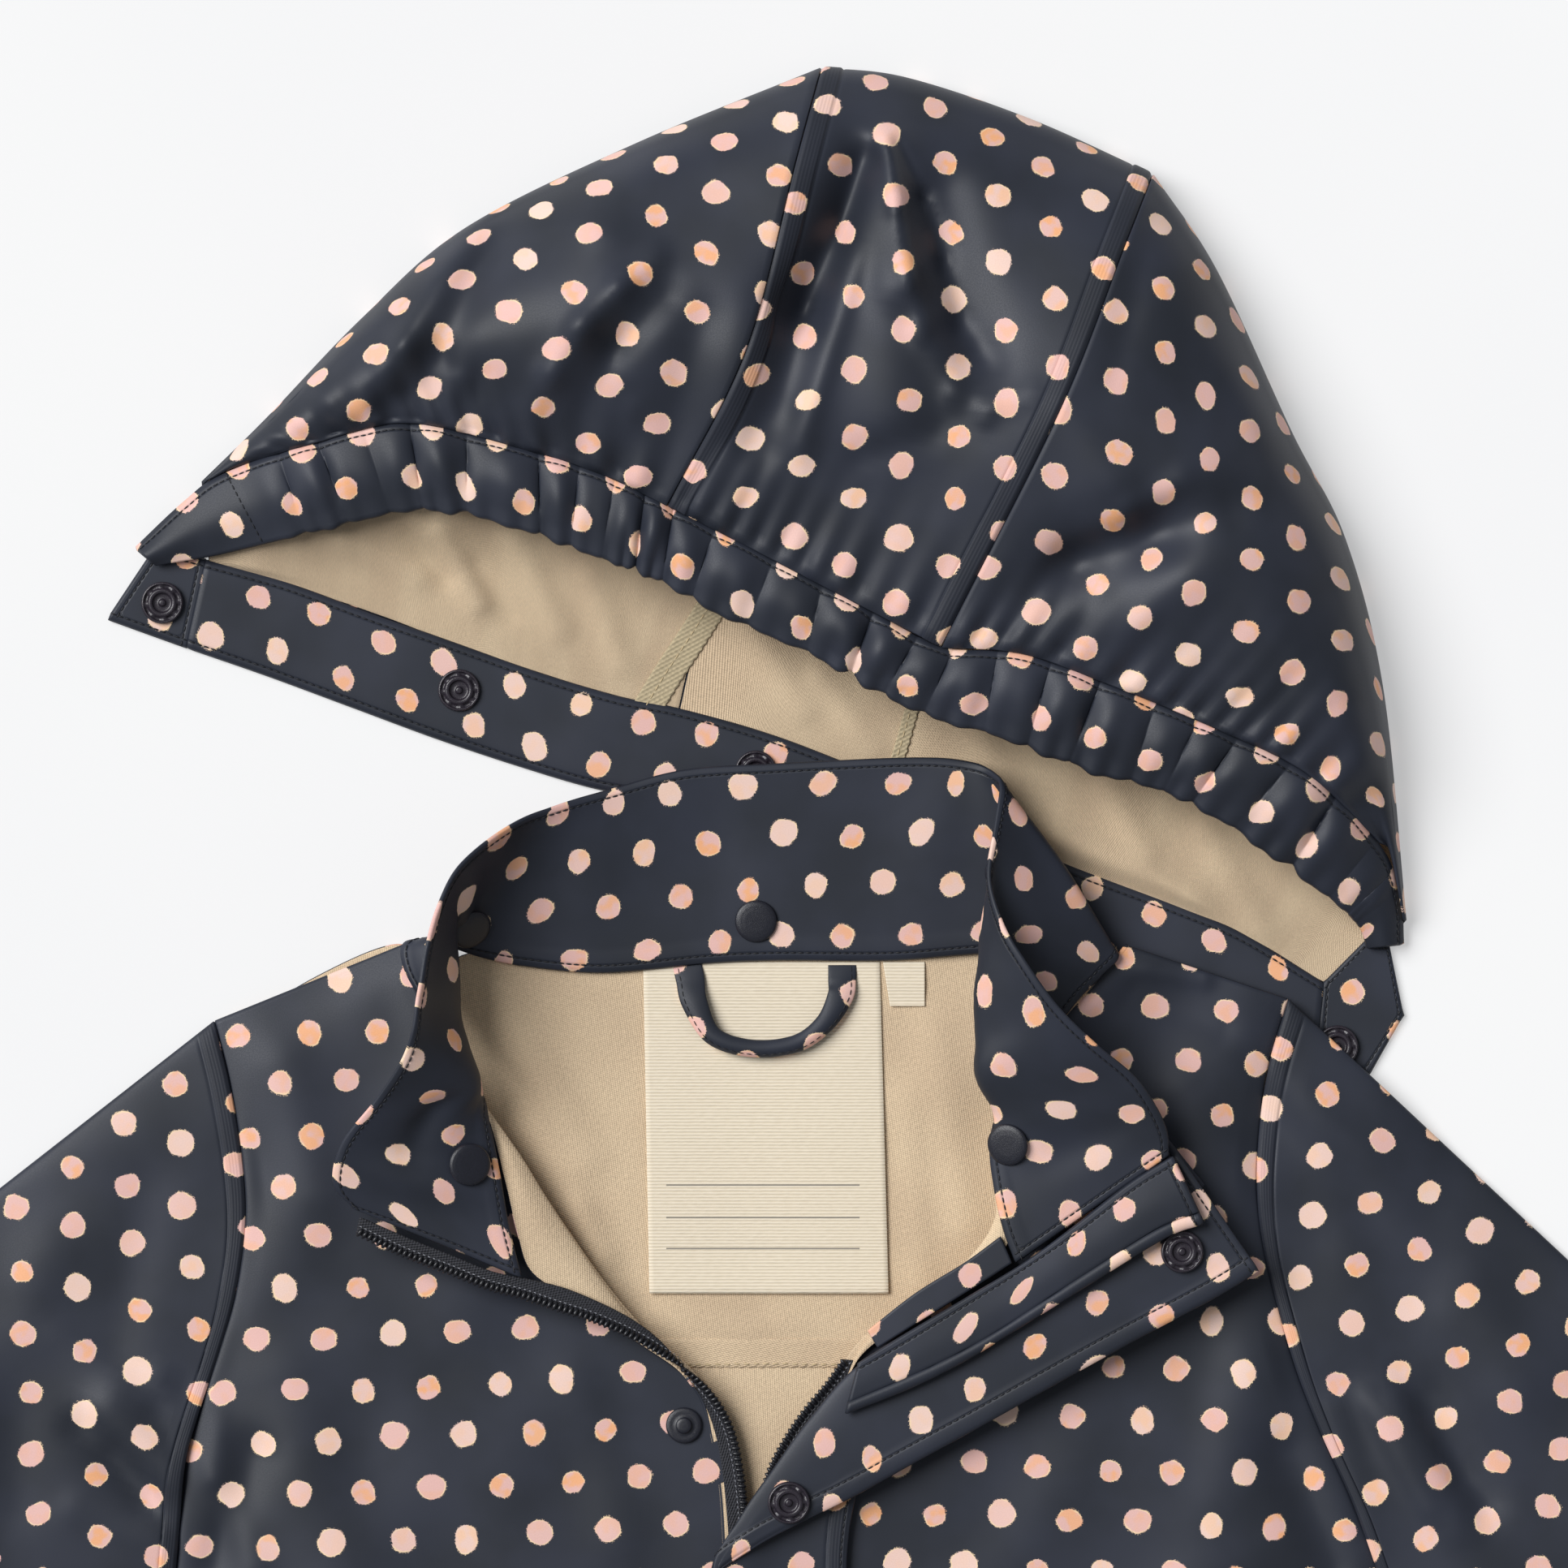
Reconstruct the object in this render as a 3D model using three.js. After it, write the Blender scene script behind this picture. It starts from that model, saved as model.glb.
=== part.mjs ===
// Toddler raincoat with a snap-off hood, laid flat on its back with the neck left open.
// Millimetres, +Z up. The coat lies on the plane z = 0. Places in the tables are measured
// from a point just above the collar's back; the last lines move the origin to the middle
// of the underside.
import * as THREE from "three";

// Driving dimensions
const CLOTH = 1.2;
const DOUBLE_CLOTH = 2.0;
const COLLAR_CLOTH = 1.5;
const SEAM_GAP = 0.3;
const FLOOR_LAYER = CLOTH / 2;
const SLEEVE_LENGTH = 385;
const CUFF_WIDTH = 110;
const SLEEVE_LOFT = 5.1;
const EDGE_LOFT = 1.1;
const LEFT_SLEEVE_ANGLE = 218;
const RIGHT_SLEEVE_ANGLE = -43;
const HEM_Y = -563;
const YOKE_SEAM_Y = -182;
const SNAP_DIAMETER = 13.5;
const GATHERS = 46;
const GATHER_DEPTH = 1.3;
const CASING_CLOTH = 2.0;
const TAPE_CLOTH = 1.0;
const LABEL_CLOTH = 0.9;
const LABEL_Z = CLOTH + SEAM_GAP + LABEL_CLOTH / 2;
const LOOP_DIAMETER = 4.6;

// Finishes
const FINISH = {
  coated: { color: 0x2b2f3b, roughness: 0.42, metalness: 0 },
  twill: { color: 0xb7a27f, roughness: 0.9, metalness: 0 },
  tape: { color: 0x1d1e24, roughness: 0.8, metalness: 0 },
  snap: { color: 0x1a1c26, roughness: 0.4, metalness: 0 },
  ribbon: { color: 0xe6d9c3, roughness: 0.85, metalness: 0 },
};

// Named columns for the tables below
function table(columns, rows) {
  return rows.map((row) => Object.fromEntries(columns.map((column, index) => [column, row[index]])));
}

function point(x, y, z) {
  return new THREE.Vector3(x, y, z);
}

function blend(from, to, share) {
  return from.clone().lerp(to, share);
}

function smoothStep(value) {
  const share = Math.min(1, Math.max(0, value));
  return share * share * (3 - 2 * share);
}

function smoothCurve(points) {
  return new THREE.CatmullRomCurve3(points, false, "catmullrom", 0.5);
}

// Places along a strip: cells[i] equal cells between guide i and guide i + 1
function marks(cells) {
  const places = [0];
  cells.forEach((count, index) => {
    for (let cell = 1; cell <= count; cell += 1) places.push((index + cell / count) / cells.length);
  });
  return places;
}

// Smooth surface through a net of profiles: u runs along a profile, v from profile to profile
function skin(profiles) {
  const guides = profiles[0].map((_, guide) => smoothCurve(profiles.map((profile) => profile[guide])));
  return (u, v) => smoothCurve(guides.map((guide) => guide.getPoint(v))).getPoint(u);
}

function surfaceNormal(surface, u, v, closed) {
  const step = 0.002;
  const uLow = closed ? u - step : Math.max(0, u - step);
  const uHigh = closed ? u + step : Math.min(1, u + step);
  const alongU = surface(uHigh, v).sub(surface(uLow, v));
  const alongV = surface(u, Math.min(1, v + step)).sub(surface(u, Math.max(0, v - step)));
  return alongU.cross(alongV).normalize();
}

function signedVolume(places, faces) {
  let sum = 0;
  for (let at = 0; at < faces.length; at += 3) {
    const [a, b, c] = [faces[at], faces[at + 1], faces[at + 2]].map((index) => places[index]);
    sum += a.dot(b.clone().cross(c));
  }
  return sum / 6;
}

// Closed solid from loose faces, turned so that they point out
function solid(places, faces) {
  const outward = signedVolume(places, faces) > 0;
  const order = [];
  for (let at = 0; at < faces.length; at += 3) {
    order.push(faces[at], faces[outward ? at + 1 : at + 2], faces[outward ? at + 2 : at + 1]);
  }
  const geometry = new THREE.BufferGeometry();
  const numbers = places.flatMap((place) => [place.x, place.y, place.z]);
  geometry.setAttribute("position", new THREE.Float32BufferAttribute(numbers, 3));
  geometry.setIndex(order);
  return geometry;
}

// Cloth wall: the surface's two sides half a thickness away, joined round the edge.
// A closed wall is a tube: u goes round it and only its two ends have an edge.
function wall(surface, across, along, thickness, closed = false) {
  const columns = closed ? across.slice(0, -1) : across;
  const width = columns.length;
  const places = [];
  for (const side of [0.5, -0.5]) {
    for (const v of along) {
      for (const u of columns) {
        const normal = surfaceNormal(surface, u, v, closed);
        places.push(surface(u, v).addScaledVector(normal, side * thickness));
      }
    }
  }
  const at = (side, row, column) => (side * along.length + row) * width + (column % width);
  const faces = [];
  const quad = (a, b, c, d) => faces.push(a, b, c, a, c, d);
  const cells = closed ? width : width - 1;
  for (let row = 0; row < along.length - 1; row += 1) {
    for (let column = 0; column < cells; column += 1) {
      quad(at(0, row, column), at(0, row, column + 1), at(0, row + 1, column + 1), at(0, row + 1, column));
      quad(at(1, row, column), at(1, row + 1, column), at(1, row + 1, column + 1), at(1, row, column + 1));
    }
  }
  for (let column = 0; column < cells; column += 1) {
    const last = along.length - 1;
    quad(at(0, 0, column), at(1, 0, column), at(1, 0, column + 1), at(0, 0, column + 1));
    quad(at(0, last, column), at(0, last, column + 1), at(1, last, column + 1), at(1, last, column));
  }
  if (!closed) {
    for (let row = 0; row < along.length - 1; row += 1) {
      const last = width - 1;
      quad(at(0, row, 0), at(0, row + 1, 0), at(1, row + 1, 0), at(1, row, 0));
      quad(at(0, row, last), at(1, row, last), at(1, row + 1, last), at(0, row + 1, last));
    }
  }
  return solid(places, faces);
}

// Largest folds, each along a line: a soft ridge or, below zero, a soft trough
const FOLDS = table(["fromX", "fromY", "toX", "toY", "width", "height"], [
  [33, 200, 36, 158, 8, 5],
  [36, 158, 34, 116, 14, 3.5],
  [24, 197, 4, 150, 7.5, -6],
  [4, 150, -8, 108, 9, -4.5],
  [50, 186, 62, 138, 9, -3.5],
  [139, 86, 118, 80, 10, -4],
  [118, 80, 92, 70, 11, -7],
  [92, 70, 68, 48, 9, -6],
  [126, 64, 100, 40, 11, 3],
  [-92, 166, -108, 124, 15, -3.4],
  [-60, 172, -72, 116, 14, 3],
  [-26, 146, -38, 100, 9, -3.5],
  [-216, -200, -196, -222, 7, 2.4],
  [-224, -206, -204, -228, 6, -2.2],
  [-236, -150, -262, -205, 12, 2],
  [196, -200, 214, -236, 8, 2.4],
  [206, -196, 224, -230, 6, -2.2],
  [205, -130, 235, -190, 12, 2],
  [-160, -190, -130, -300, 14, 2],
  [-170, -215, -184, -250, 8, -2.2],
  [150, -190, 120, -300, 14, 2],
  [160, -215, 176, -250, 8, -2.2],
  [-100, -380, -120, -520, 16, 2],
  [100, -400, 80, -540, 16, 2],
]);

function foldHeight(x, y) {
  return FOLDS.reduce((sum, fold) => {
    const line = new THREE.Vector2(fold.toX - fold.fromX, fold.toY - fold.fromY);
    const away = new THREE.Vector2(x - fold.fromX, y - fold.fromY);
    const along = Math.min(1, Math.max(0, away.dot(line) / line.lengthSq()));
    const distance = away.addScaledVector(line, -along).length();
    return sum + fold.height * Math.exp(-((distance / fold.width) ** 2));
  }, 0);
}

// The same surface with the folds pressed in, as strongly as the weight says at each u
function pressed(surface, weight) {
  return (u, v) => {
    const place = surface(u, v);
    place.z += weight(u) * foldHeight(place.x, place.y);
    return place;
  };
}

// 0 outside two places, 1 between them, with soft ends
function between(value, start, end, softness) {
  return smoothStep((value - start) / softness) * (1 - smoothStep((value - end) / softness));
}

const raincoat = new THREE.Group();

function add(name, geometry, finish) {
  const mesh = new THREE.Mesh(geometry, new THREE.MeshStandardMaterial(finish));
  mesh.name = name;
  raincoat.add(mesh);
  return mesh;
}

function addWall(name, profiles, across, along, thickness, finish) {
  add(name, wall(skin(profiles), marks(across), marks(along), thickness), finish);
}

// Armholes: plan line from the shoulder down to the underarm, shared by back, front and sleeve
const LEFT_ARMHOLE = table(["x", "y", "z"], [
  [-182, -76, 2.2],
  [-177, -96, 4.0],
  [-173, -120, 5.0],
  [-172, -140, 5.5],
  [-175, -162, 5.7],
  [-180, -180, 5.6],
  [-186, -198, 5.2],
  [-191, -216, 4.6],
  [-193, -236, 3.6],
  [-195, -258, 2.2],
]);
const RIGHT_ARMHOLE = table(["x", "y", "z"], [
  [161, -69, 4.8],
  [155, -89, 5.0],
  [152, -108, 5.4],
  [151, -128, 5.7],
  [153, -148, 5.8],
  [158, -168, 5.6],
  [164, -188, 5.2],
  [172, -208, 4.6],
  [182, -230, 3.6],
  [192, -258, 2.2],
]);

// Side seams from the underarm to the hem
const LEFT_SIDE = table(["x", "y", "z"], [
  [-196, -290, 2.2],
  [-199, -345, 2.2],
  [-203, -440, 2.2],
  [-208, HEM_Y, 2.2],
]);
const RIGHT_SIDE = table(["x", "y", "z"], [
  [194, -290, 2.2],
  [197, -345, 2.2],
  [201, -440, 2.2],
  [206, HEM_Y, 2.2],
]);

// Back: yoke and main panel lie on the ground, the yoke rising only over the hood's neckband
const YOKE_TOP = table(["x", "y", "z"], [
  [-181.5, -76.4, 0.6],
  [-150, -57, 0.9],
  [-124, -46.5, 3.2],
  [-112, -54, 2.2],
  [-97, -58.5, 0.7],
  [-57, -61.5, 0.6],
  [-3, -58, 0.6],
  [50, -57, 0.6],
  [64, -57, 0.9],
  [80, -57, 2.9],
  [107, -55, 3.1],
  [133, -56, 3.0],
  [148, -62, 3.0],
  [160.5, -69.5, 3.0],
]);
const YOKE_ROWS_Y = [-112, -130, -148, -165, YOKE_SEAM_Y];
const YOKE_RAISED_DEPTH = 23;

// X of an armhole at a height y
function armholeX(armhole, y) {
  const below = Math.max(1, armhole.findIndex((row) => row.y <= y));
  const [from, to] = [armhole[below - 1], armhole[below]];
  return from.x + ((to.x - from.x) * (y - from.y)) / (to.y - from.y);
}

function backYoke() {
  const profiles = YOKE_TOP.map((top, index) => {
    const share = index / (YOKE_TOP.length - 1);
    const rowPoint = (y) => {
      const leftX = armholeX(LEFT_ARMHOLE, y) + 2 * SEAM_GAP;
      const rightX = armholeX(RIGHT_ARMHOLE, y) - 2 * SEAM_GAP;
      return point(leftX + (rightX - leftX) * share, y, FLOOR_LAYER);
    };
    const raised = rowPoint(top.y - YOKE_RAISED_DEPTH).setZ(top.z);
    if (share > 0 && share < 1) raised.x = (raised.x + top.x) / 2;
    return [point(top.x, top.y, top.z), raised, ...YOKE_ROWS_Y.map(rowPoint)];
  });
  const across = [2, 1, 1, 1, 1, 1];
  addWall("back_yoke", profiles, across, Array(YOKE_TOP.length - 1).fill(1), CLOTH, FINISH.twill);
}

const BACK_SIDES = table(["leftX", "rightX", "y"], [
  [-180.4, 161.8, YOKE_SEAM_Y - SEAM_GAP],
  [-190.4, 174.2, -216],
  [-194.5, 191.2, -258],
  [-197.5, 195, -320],
  [-202, 199.5, -430],
  [-208, 206, HEM_Y],
]);

function backPanel() {
  const profiles = BACK_SIDES.map((row) => [
    point(row.leftX, row.y, FLOOR_LAYER),
    point((row.leftX + row.rightX) / 2, row.y, FLOOR_LAYER),
    point(row.rightX, row.y, FLOOR_LAYER),
  ]);
  addWall("back_panel", profiles, [2, 2], [1, 2, 1, 1, 1], CLOTH, FINISH.coated);
}

// Fronts: each row ends at the front edge. There the cloth turns back over itself round a
// roll (turnRise high) and ends at the turned edge. It starts at the armhole or side seam.
const FRONT_COLUMNS = ["rollX", "rollY", "rollZ", "turnX", "turnY", "turnRise", "middleZ"];
const LEFT_FRONT = table(FRONT_COLUMNS, [
  [-118, -50, 5.6, -117, -49.4, 0.3, 3.2],
  [-120, -63, 8.0, -119, -62.4, 0.3, 5.8],
  [-108, -87, 10.6, -107, -86.4, 0.4, 7.0],
  [-96, -103, 10.6, -95.4, -103.4, 1.6, 7.6],
  [-85, -118, 9.6, -89, -126, 5.0, 7.6],
  [-77, -131, 8.6, -85, -143, 6.0, 7.2],
  [-68, -145, 8.0, -80, -156, 6.0, 7.0],
  [-57, -161, 7.4, -64, -166, 5.4, 6.8],
  [-45, -176, 6.8, -47, -178, 4.0, 6.5],
  [-31, -190, 6.4, -30.6, -190.4, 1.6, 6.2],
  [-24, -206, 6.0, -23.4, -206.2, 0.1, 5.8],
  [-19.4, -250, 5.7, -18.6, -250, 0.05, 5.6],
  [-18, -400, 5.6, -17.2, -400, 0, 5.6],
  [-18, HEM_Y, 5.6, -17.2, HEM_Y, 0, 5.6],
]);
const RIGHT_FRONT = table(FRONT_COLUMNS, [
  [110, -52, 7.6, 109.2, -51.4, 0.3, 5.6],
  [100, -65, 10.0, 99.2, -64.4, 0.3, 7.0],
  [86, -81, 11.0, 85.2, -80.4, 0.3, 7.6],
  [72, -103, 11.4, 71.2, -102.6, 0.8, 8.2],
  [67, -122, 10.6, 70, -126, 4.4, 8.0],
  [68, -138, 9.6, 72, -144, 5.8, 7.6],
  [59, -152, 8.8, 63, -157, 5.8, 7.4],
  [41, -165, 8.2, 44, -169.4, 5.0, 7.0],
  [26, -179, 7.6, 26.4, -180.6, 3.0, 6.7],
  [18, -195, 6.8, 17.4, -195.4, 0.8, 6.3],
  [4.6, -219, 6.2, 3.8, -219.2, 0.1, 5.9],
  [-3.4, -260, 5.8, -4.2, -260, 0.05, 5.6],
  [-4, -400, 5.6, -4.8, -400, 0, 5.6],
  [-4, HEM_Y, 5.6, -4.8, HEM_Y, 0, 5.6],
]);

// A front's columns as shares of the way from its outer seam to its roll, and its turned part
const FRONT_SHAPE = { near: 0.22, far: 0.6, over: 0.35, rollShare: 0.7, rollLead: 2, farRise: 0.1 };
const FRONT_CELLS = [3, 3, 3, 2, 2, 1];
const FRONT_FINE_ROWS = 10;
const FRONT_FOLDS = { end: 0.42, softness: 0.08 };

function frontProfile(row, side) {
  const outer = point(side.x, side.y, side.z);
  const roll = point(row.rollX, row.rollY, row.rollZ);
  const turned = point(row.turnX, row.turnY, row.rollZ + row.turnRise);
  const inward = outer.clone().sub(roll).setZ(0).normalize();
  const lead = FRONT_SHAPE.rollShare * row.turnRise + FRONT_SHAPE.rollLead;
  const rollStart = roll.clone().addScaledVector(inward, lead);
  return [
    outer,
    blend(outer, roll, FRONT_SHAPE.near).setZ(row.middleZ),
    blend(outer, roll, FRONT_SHAPE.far).setZ(row.middleZ + FRONT_SHAPE.farRise),
    rollStart,
    roll.clone().setZ(row.rollZ + row.turnRise / 2),
    blend(roll, turned, FRONT_SHAPE.over).setZ(row.rollZ + row.turnRise),
    turned,
  ];
}

function front(name, rows, sides) {
  const alongCells = rows.slice(1).map((_, index) => (index < FRONT_FINE_ROWS ? 2 : 1));
  const flat = skin(rows.map((row, index) => frontProfile(row, sides[index])));
  const folded = pressed(flat, (u) => between(u, 0, FRONT_FOLDS.end, FRONT_FOLDS.softness));
  add(name, wall(folded, marks(FRONT_CELLS), marks(alongCells), CLOTH), FINISH.coated);
}

// Sleeves: flat tubes that rest on the ground, v from the armhole to the open cuff
// and lifted by cover where the shoulder lies on the hood's neckband
const SLEEVE = { cellsRound: 18, cellsAlong: 14, fullness: 0.8, lowerBend: 0.3, seamLead: 5 };
const OVER_BAND = { rise: 4.3, share: 0.1, shareSoftness: 0.12, length: 0.1 };

function sleevePoint(armhole, angle, turn, cover, u, v) {
  const direction = point(Math.cos(angle), Math.sin(angle), 0);
  const downward = point(-Math.sin(angle), Math.cos(angle), 0).multiplyScalar(turn);
  const shoulder = point(armhole[0].x, armhole[0].y, 0);
  const cuffTop = shoulder.clone().addScaledVector(direction, SLEEVE_LENGTH);
  const cuffLow = cuffTop.clone().addScaledVector(downward, CUFF_WIDTH);
  const round = 2 * Math.PI * u;
  const share = (1 - Math.cos(round)) / 2;
  const hole = smoothCurve(armhole.map((row) => point(row.x, row.y, 0))).getPoint(share);
  const place = blend(hole, blend(cuffTop, cuffLow, share), v);
  place.addScaledVector(direction, SEAM_GAP * (1 - v) * SLEEVE.seamLead);
  const rise = Math.sin(round);
  const upper = EDGE_LOFT + (SLEEVE_LOFT - EDGE_LOFT) * Math.max(0, rise) ** SLEEVE.fullness;
  const lower = EDGE_LOFT * Math.max(0, 1 + rise / SLEEVE.lowerBend) ** 2;
  const nearShoulder = 1 - smoothStep((share - OVER_BAND.share) / OVER_BAND.shareSoftness);
  const overBand = nearShoulder * (1 - smoothStep((v - OVER_BAND.length) / OVER_BAND.length));
  place.z = FLOOR_LAYER + (rise >= 0 ? upper : lower) + cover * overBand;
  place.z += Math.max(0, rise) * foldHeight(place.x, place.y);
  return place;
}

function sleeve(name, armhole, degrees, turn, cover) {
  const angle = THREE.MathUtils.degToRad(degrees);
  const surface = (u, v) => sleevePoint(armhole, angle, turn, cover, u, v);
  add(name, wall(surface, marks([SLEEVE.cellsRound]), marks([SLEEVE.cellsAlong]), CLOTH, true), FINISH.coated);
}

// Stand collar: one row for each place round the neck, from the left front end over the back
// to the right front end, with its neck seam, the bend of the wall and its top edge
const COLLAR_COLUMNS = ["seamX", "seamY", "seamZ", "bendX", "bendY", "bendZ", "topX", "topY", "topZ"];
const COLLAR = table(COLLAR_COLUMNS, [
  [-84, -157, 17.4, -110, -146, 19.5, -137, -135, 22],
  [-88, -141, 17.4, -114, -135, 21, -143, -127, 25],
  [-91, -124, 17.2, -116, -119, 24, -140, -114, 30],
  [-94, -109, 16.4, -110, -105, 28, -129, -100, 36],
  [-97, -98, 14.6, -99, -96, 27, -121, -88, 42],
  [-105, -85, 13.2, -101, -83, 25, -117, -77, 46],
  [-114, -71, 12, -103, -70, 25, -115, -65, 47],
  [-121, -59, 10.4, -104, -58, 24, -113, -52, 45],
  [-121, -51, 8.4, -105, -49, 22, -109, -38, 41],
  [-110, -51, 5.8, -104, -42, 18, -102, -25, 34],
  [-97, -55, 3.6, -96, -37, 11, -88, -14, 23],
  [-82, -58, 2.7, -78, -33, 6.8, -72, -7, 14],
  [-57, -60, 2.5, -56, -31, 5.2, -55, -2, 9.5],
  [-25, -57, 2.5, -27, -27, 4.8, -32, 4, 8],
  [-3, -56, 2.5, -3, -25, 4.8, -3, 6, 7.6],
  [34, -56, 2.5, 36, -24, 5, 42, 8, 8],
  [61, -54, 3.4, 61, -24, 6.2, 60, 6.5, 10],
  [87, -53, 5.8, 80, -27, 10, 67, 3, 15],
  [106, -54, 10.4, 90, -28, 18, 69, -1, 22],
  [101, -61, 13, 79, -39, 25, 67, -14, 28],
  [95, -67, 13.6, 67, -47, 27, 65, -29, 34],
  [90, -73, 14, 62, -60, 27, 69, -44, 40],
  [83, -81, 14, 61, -72, 27, 76, -56, 42],
  [76, -90, 14, 62, -83, 26, 86, -70, 41],
  [70, -101, 14.6, 65, -95, 26, 98, -82, 38],
  [66, -114, 17.6, 78, -105, 25.4, 111, -93, 33],
  [67, -127, 18.6, 89, -116, 23.6, 118, -103, 29],
  [70, -141, 19, 94, -127, 22.2, 121.5, -111, 26],
  [74, -152, 19, 98, -135, 21.4, 122, -118, 24.5],
]);

function collarProfile(row) {
  const seam = point(row.seamX, row.seamY, row.seamZ);
  const bend = point(row.bendX, row.bendY, row.bendZ);
  const top = point(row.topX, row.topY, row.topZ);
  return [seam, bend, top];
}

const collarSurface = skin(COLLAR.map(collarProfile));

// The collar bends most sharply between these rows, so the cells are finer there
const COLLAR_BEND = { from: 16, to: 18 };
const COLLAR_CELLS = [3, 3];

function collar() {
  const fine = (index) => index >= COLLAR_BEND.from && index <= COLLAR_BEND.to;
  const along = marks(COLLAR.slice(1).map((_, index) => (fine(index) ? 2 : 1)));
  add("collar", wall(collarSurface, marks(COLLAR_CELLS), along, COLLAR_CLOTH), FINISH.coated);
}

// Storm flap over the zip: sewn seam, roll and free edge. Above the closed part it is rolled
// back to the right with its inner side up.
const PLACKET_COLUMNS = [
  "seamX", "seamY", "seamZ", "rollX", "rollY", "rollZ", "edgeX", "edgeY", "edgeZ", "rolled",
];
const PLACKET = table(PLACKET_COLUMNS, [
  [134, -128, 13, 122, -113, 16.4, 151, -155, 19.2, 1],
  [114, -147, 13, 110, -130, 16.6, 138, -163, 19.2, 1],
  [95, -161, 13, 89, -147, 16.8, 110, -178, 18.8, 1],
  [77, -173, 13, 70, -160.4, 17, 83, -193, 18.2, 1],
  [60, -184, 12.6, 48, -174, 16.4, 60, -206, 17.2, 1],
  [42, -194, 12.2, 25, -185, 15.8, 40, -217, 16.4, 1],
  [30, -208, 11.4, 9, -202, 15, 24, -226, 15.8, 1],
  [23, -226, 10.6, -4, -220, 14.8, 6, -235, 15.4, 1],
  [20, -245, 9.6, -13, -234, 14, -8, -242.5, 14.6, 0.8],
  [20, -266, 8.6, -21, -252, 12.8, -24, -254, 12.6, 0.2],
  [20, -290, 8.0, -14, -280, 11.2, -39, -274, 10, 0],
  [20, -325, 7.6, -13, -320, 9.2, -42, -315, 8.4, 0],
  [20.5, -430, 7.6, -12, -430, 8.6, -42, -430, 8, 0],
  [21, HEM_Y, 7.6, -12, HEM_Y, 8.4, -42, HEM_Y, 7.8, 0],
]);

// The flap's under and over knots as shares of seam to roll and roll to edge
const FLAP_SHAPE = { under: 0.62, over: 0.3, overRise: 0.8 };
const FLAP_CELLS_ACROSS = [2, 2, 2, 3];
const FLAP_CELLS_ALONG = [1, 2, 2, 2, 2, 2, 2, 2, 2, 2, 1, 1, 1];

function placketProfile(row) {
  const seam = point(row.seamX, row.seamY, row.seamZ);
  const roll = point(row.rollX, row.rollY, row.rollZ);
  const edge = point(row.edgeX, row.edgeY, row.edgeZ);
  const under = blend(seam, roll, FLAP_SHAPE.under);
  const over = blend(roll, edge, FLAP_SHAPE.over);
  under.z = THREE.MathUtils.lerp(under.z, row.seamZ, row.rolled);
  over.z = THREE.MathUtils.lerp(over.z, row.edgeZ + FLAP_SHAPE.overRise, row.rolled);
  return [seam, under, roll, over, edge];
}

const placketSurface = skin(PLACKET.map(placketProfile));

function placket() {
  const flap = wall(placketSurface, marks(FLAP_CELLS_ACROSS), marks(FLAP_CELLS_ALONG), CLOTH);
  add("placket", flap, FINISH.coated);
}

// Zip guard: double strip sewn along the right front edge, with a free edge
const GUARD_COLUMNS = ["seamX", "seamY", "seamZ", "edgeX", "edgeY", "edgeZ"];
const GUARD = table(GUARD_COLUMNS, [
  [123.5, -119, 24, 133, -139.5, 24.4],
  [110, -127.5, 24, 121, -144, 24.4],
  [92, -141.5, 23.4, 95, -160, 23.2],
  [76, -153, 22.6, 70, -175.5, 22.2],
  [58, -164, 22.2, 56, -184, 21.6],
  [38, -176, 21.4, 40, -192, 20.6],
  [24, -184.5, 20.6, 20, -200, 19.6],
]);

const GUARD_SWELL = 0.9;

function zipGuard() {
  const profiles = GUARD.map((row) => [
    point(row.seamX, row.seamY, row.seamZ),
    point((row.seamX + row.edgeX) / 2, (row.seamY + row.edgeY) / 2, row.edgeZ + GUARD_SWELL),
    point(row.edgeX, row.edgeY, row.edgeZ),
  ]);
  addWall("zip_guard", profiles, [2, 2], Array(GUARD.length - 1).fill(2), DOUBLE_CLOTH, FINISH.coated);
}

// Facing strip on the turned part of the right front, between the roll and the guard's seam
const FACING = table(["rollX", "rollY", "seamX", "seamY", "z"], [
  [69, -144.5, 72.5, -152.6, 17.4],
  [58, -152.6, 62, -159.4, 16.9],
  [42, -162.6, 46, -169.4, 15.9],
  [27, -174.4, 30, -179.6, 14.4],
]);

const FACING_TILT = 0.2;

function facing() {
  const profiles = FACING.map((row) => [
    point(row.rollX, row.rollY, row.z - FACING_TILT),
    point(row.seamX, row.seamY, row.z),
  ]);
  addWall("neck_facing", profiles, [2], [3, 3, 3], TAPE_CLOTH, FINISH.coated);
}

// Zip tapes: sewn side and teeth side, from the open top down to the hem
const TAPE_COLUMNS = ["sewnX", "sewnY", "sewnZ", "teethX", "teethY", "teethZ"];
const LEFT_TAPE = table(TAPE_COLUMNS, [
  [-135, -138.2, 19.2, -136, -143, 18.2],
  [-120, -144.8, 18.8, -121.6, -149.8, 17.6],
  [-106, -150.4, 18.2, -107, -155.4, 17],
  [-93, -155.6, 17.6, -94.6, -160.4, 16.6],
  [-82, -158, 16.4, -83, -163.6, 16.4],
  [-70, -161, 15.8, -72, -167.4, 16],
  [-58, -166, 15, -61, -171, 15.4],
  [-47, -172, 13.6, -49.6, -176, 14.4],
  [-38, -179.6, 11.8, -40, -181.6, 13],
  [-28.6, -191.6, 8.8, -26.4, -190.8, 10],
  [-22.6, -204.6, 6.6, -17.6, -203.6, 6.8],
  [-19.6, -220, 6, -13.6, -219, 6.2],
  [-17.8, -240, 5.8, -11.6, -240, 6],
  [-16.8, -262, 5.7, -11, -262, 5.8],
  [-16.6, -400, 5.6, -11, -400, 5.7],
  [-16.6, -548, 5.6, -11, -548, 5.7],
]);
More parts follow.
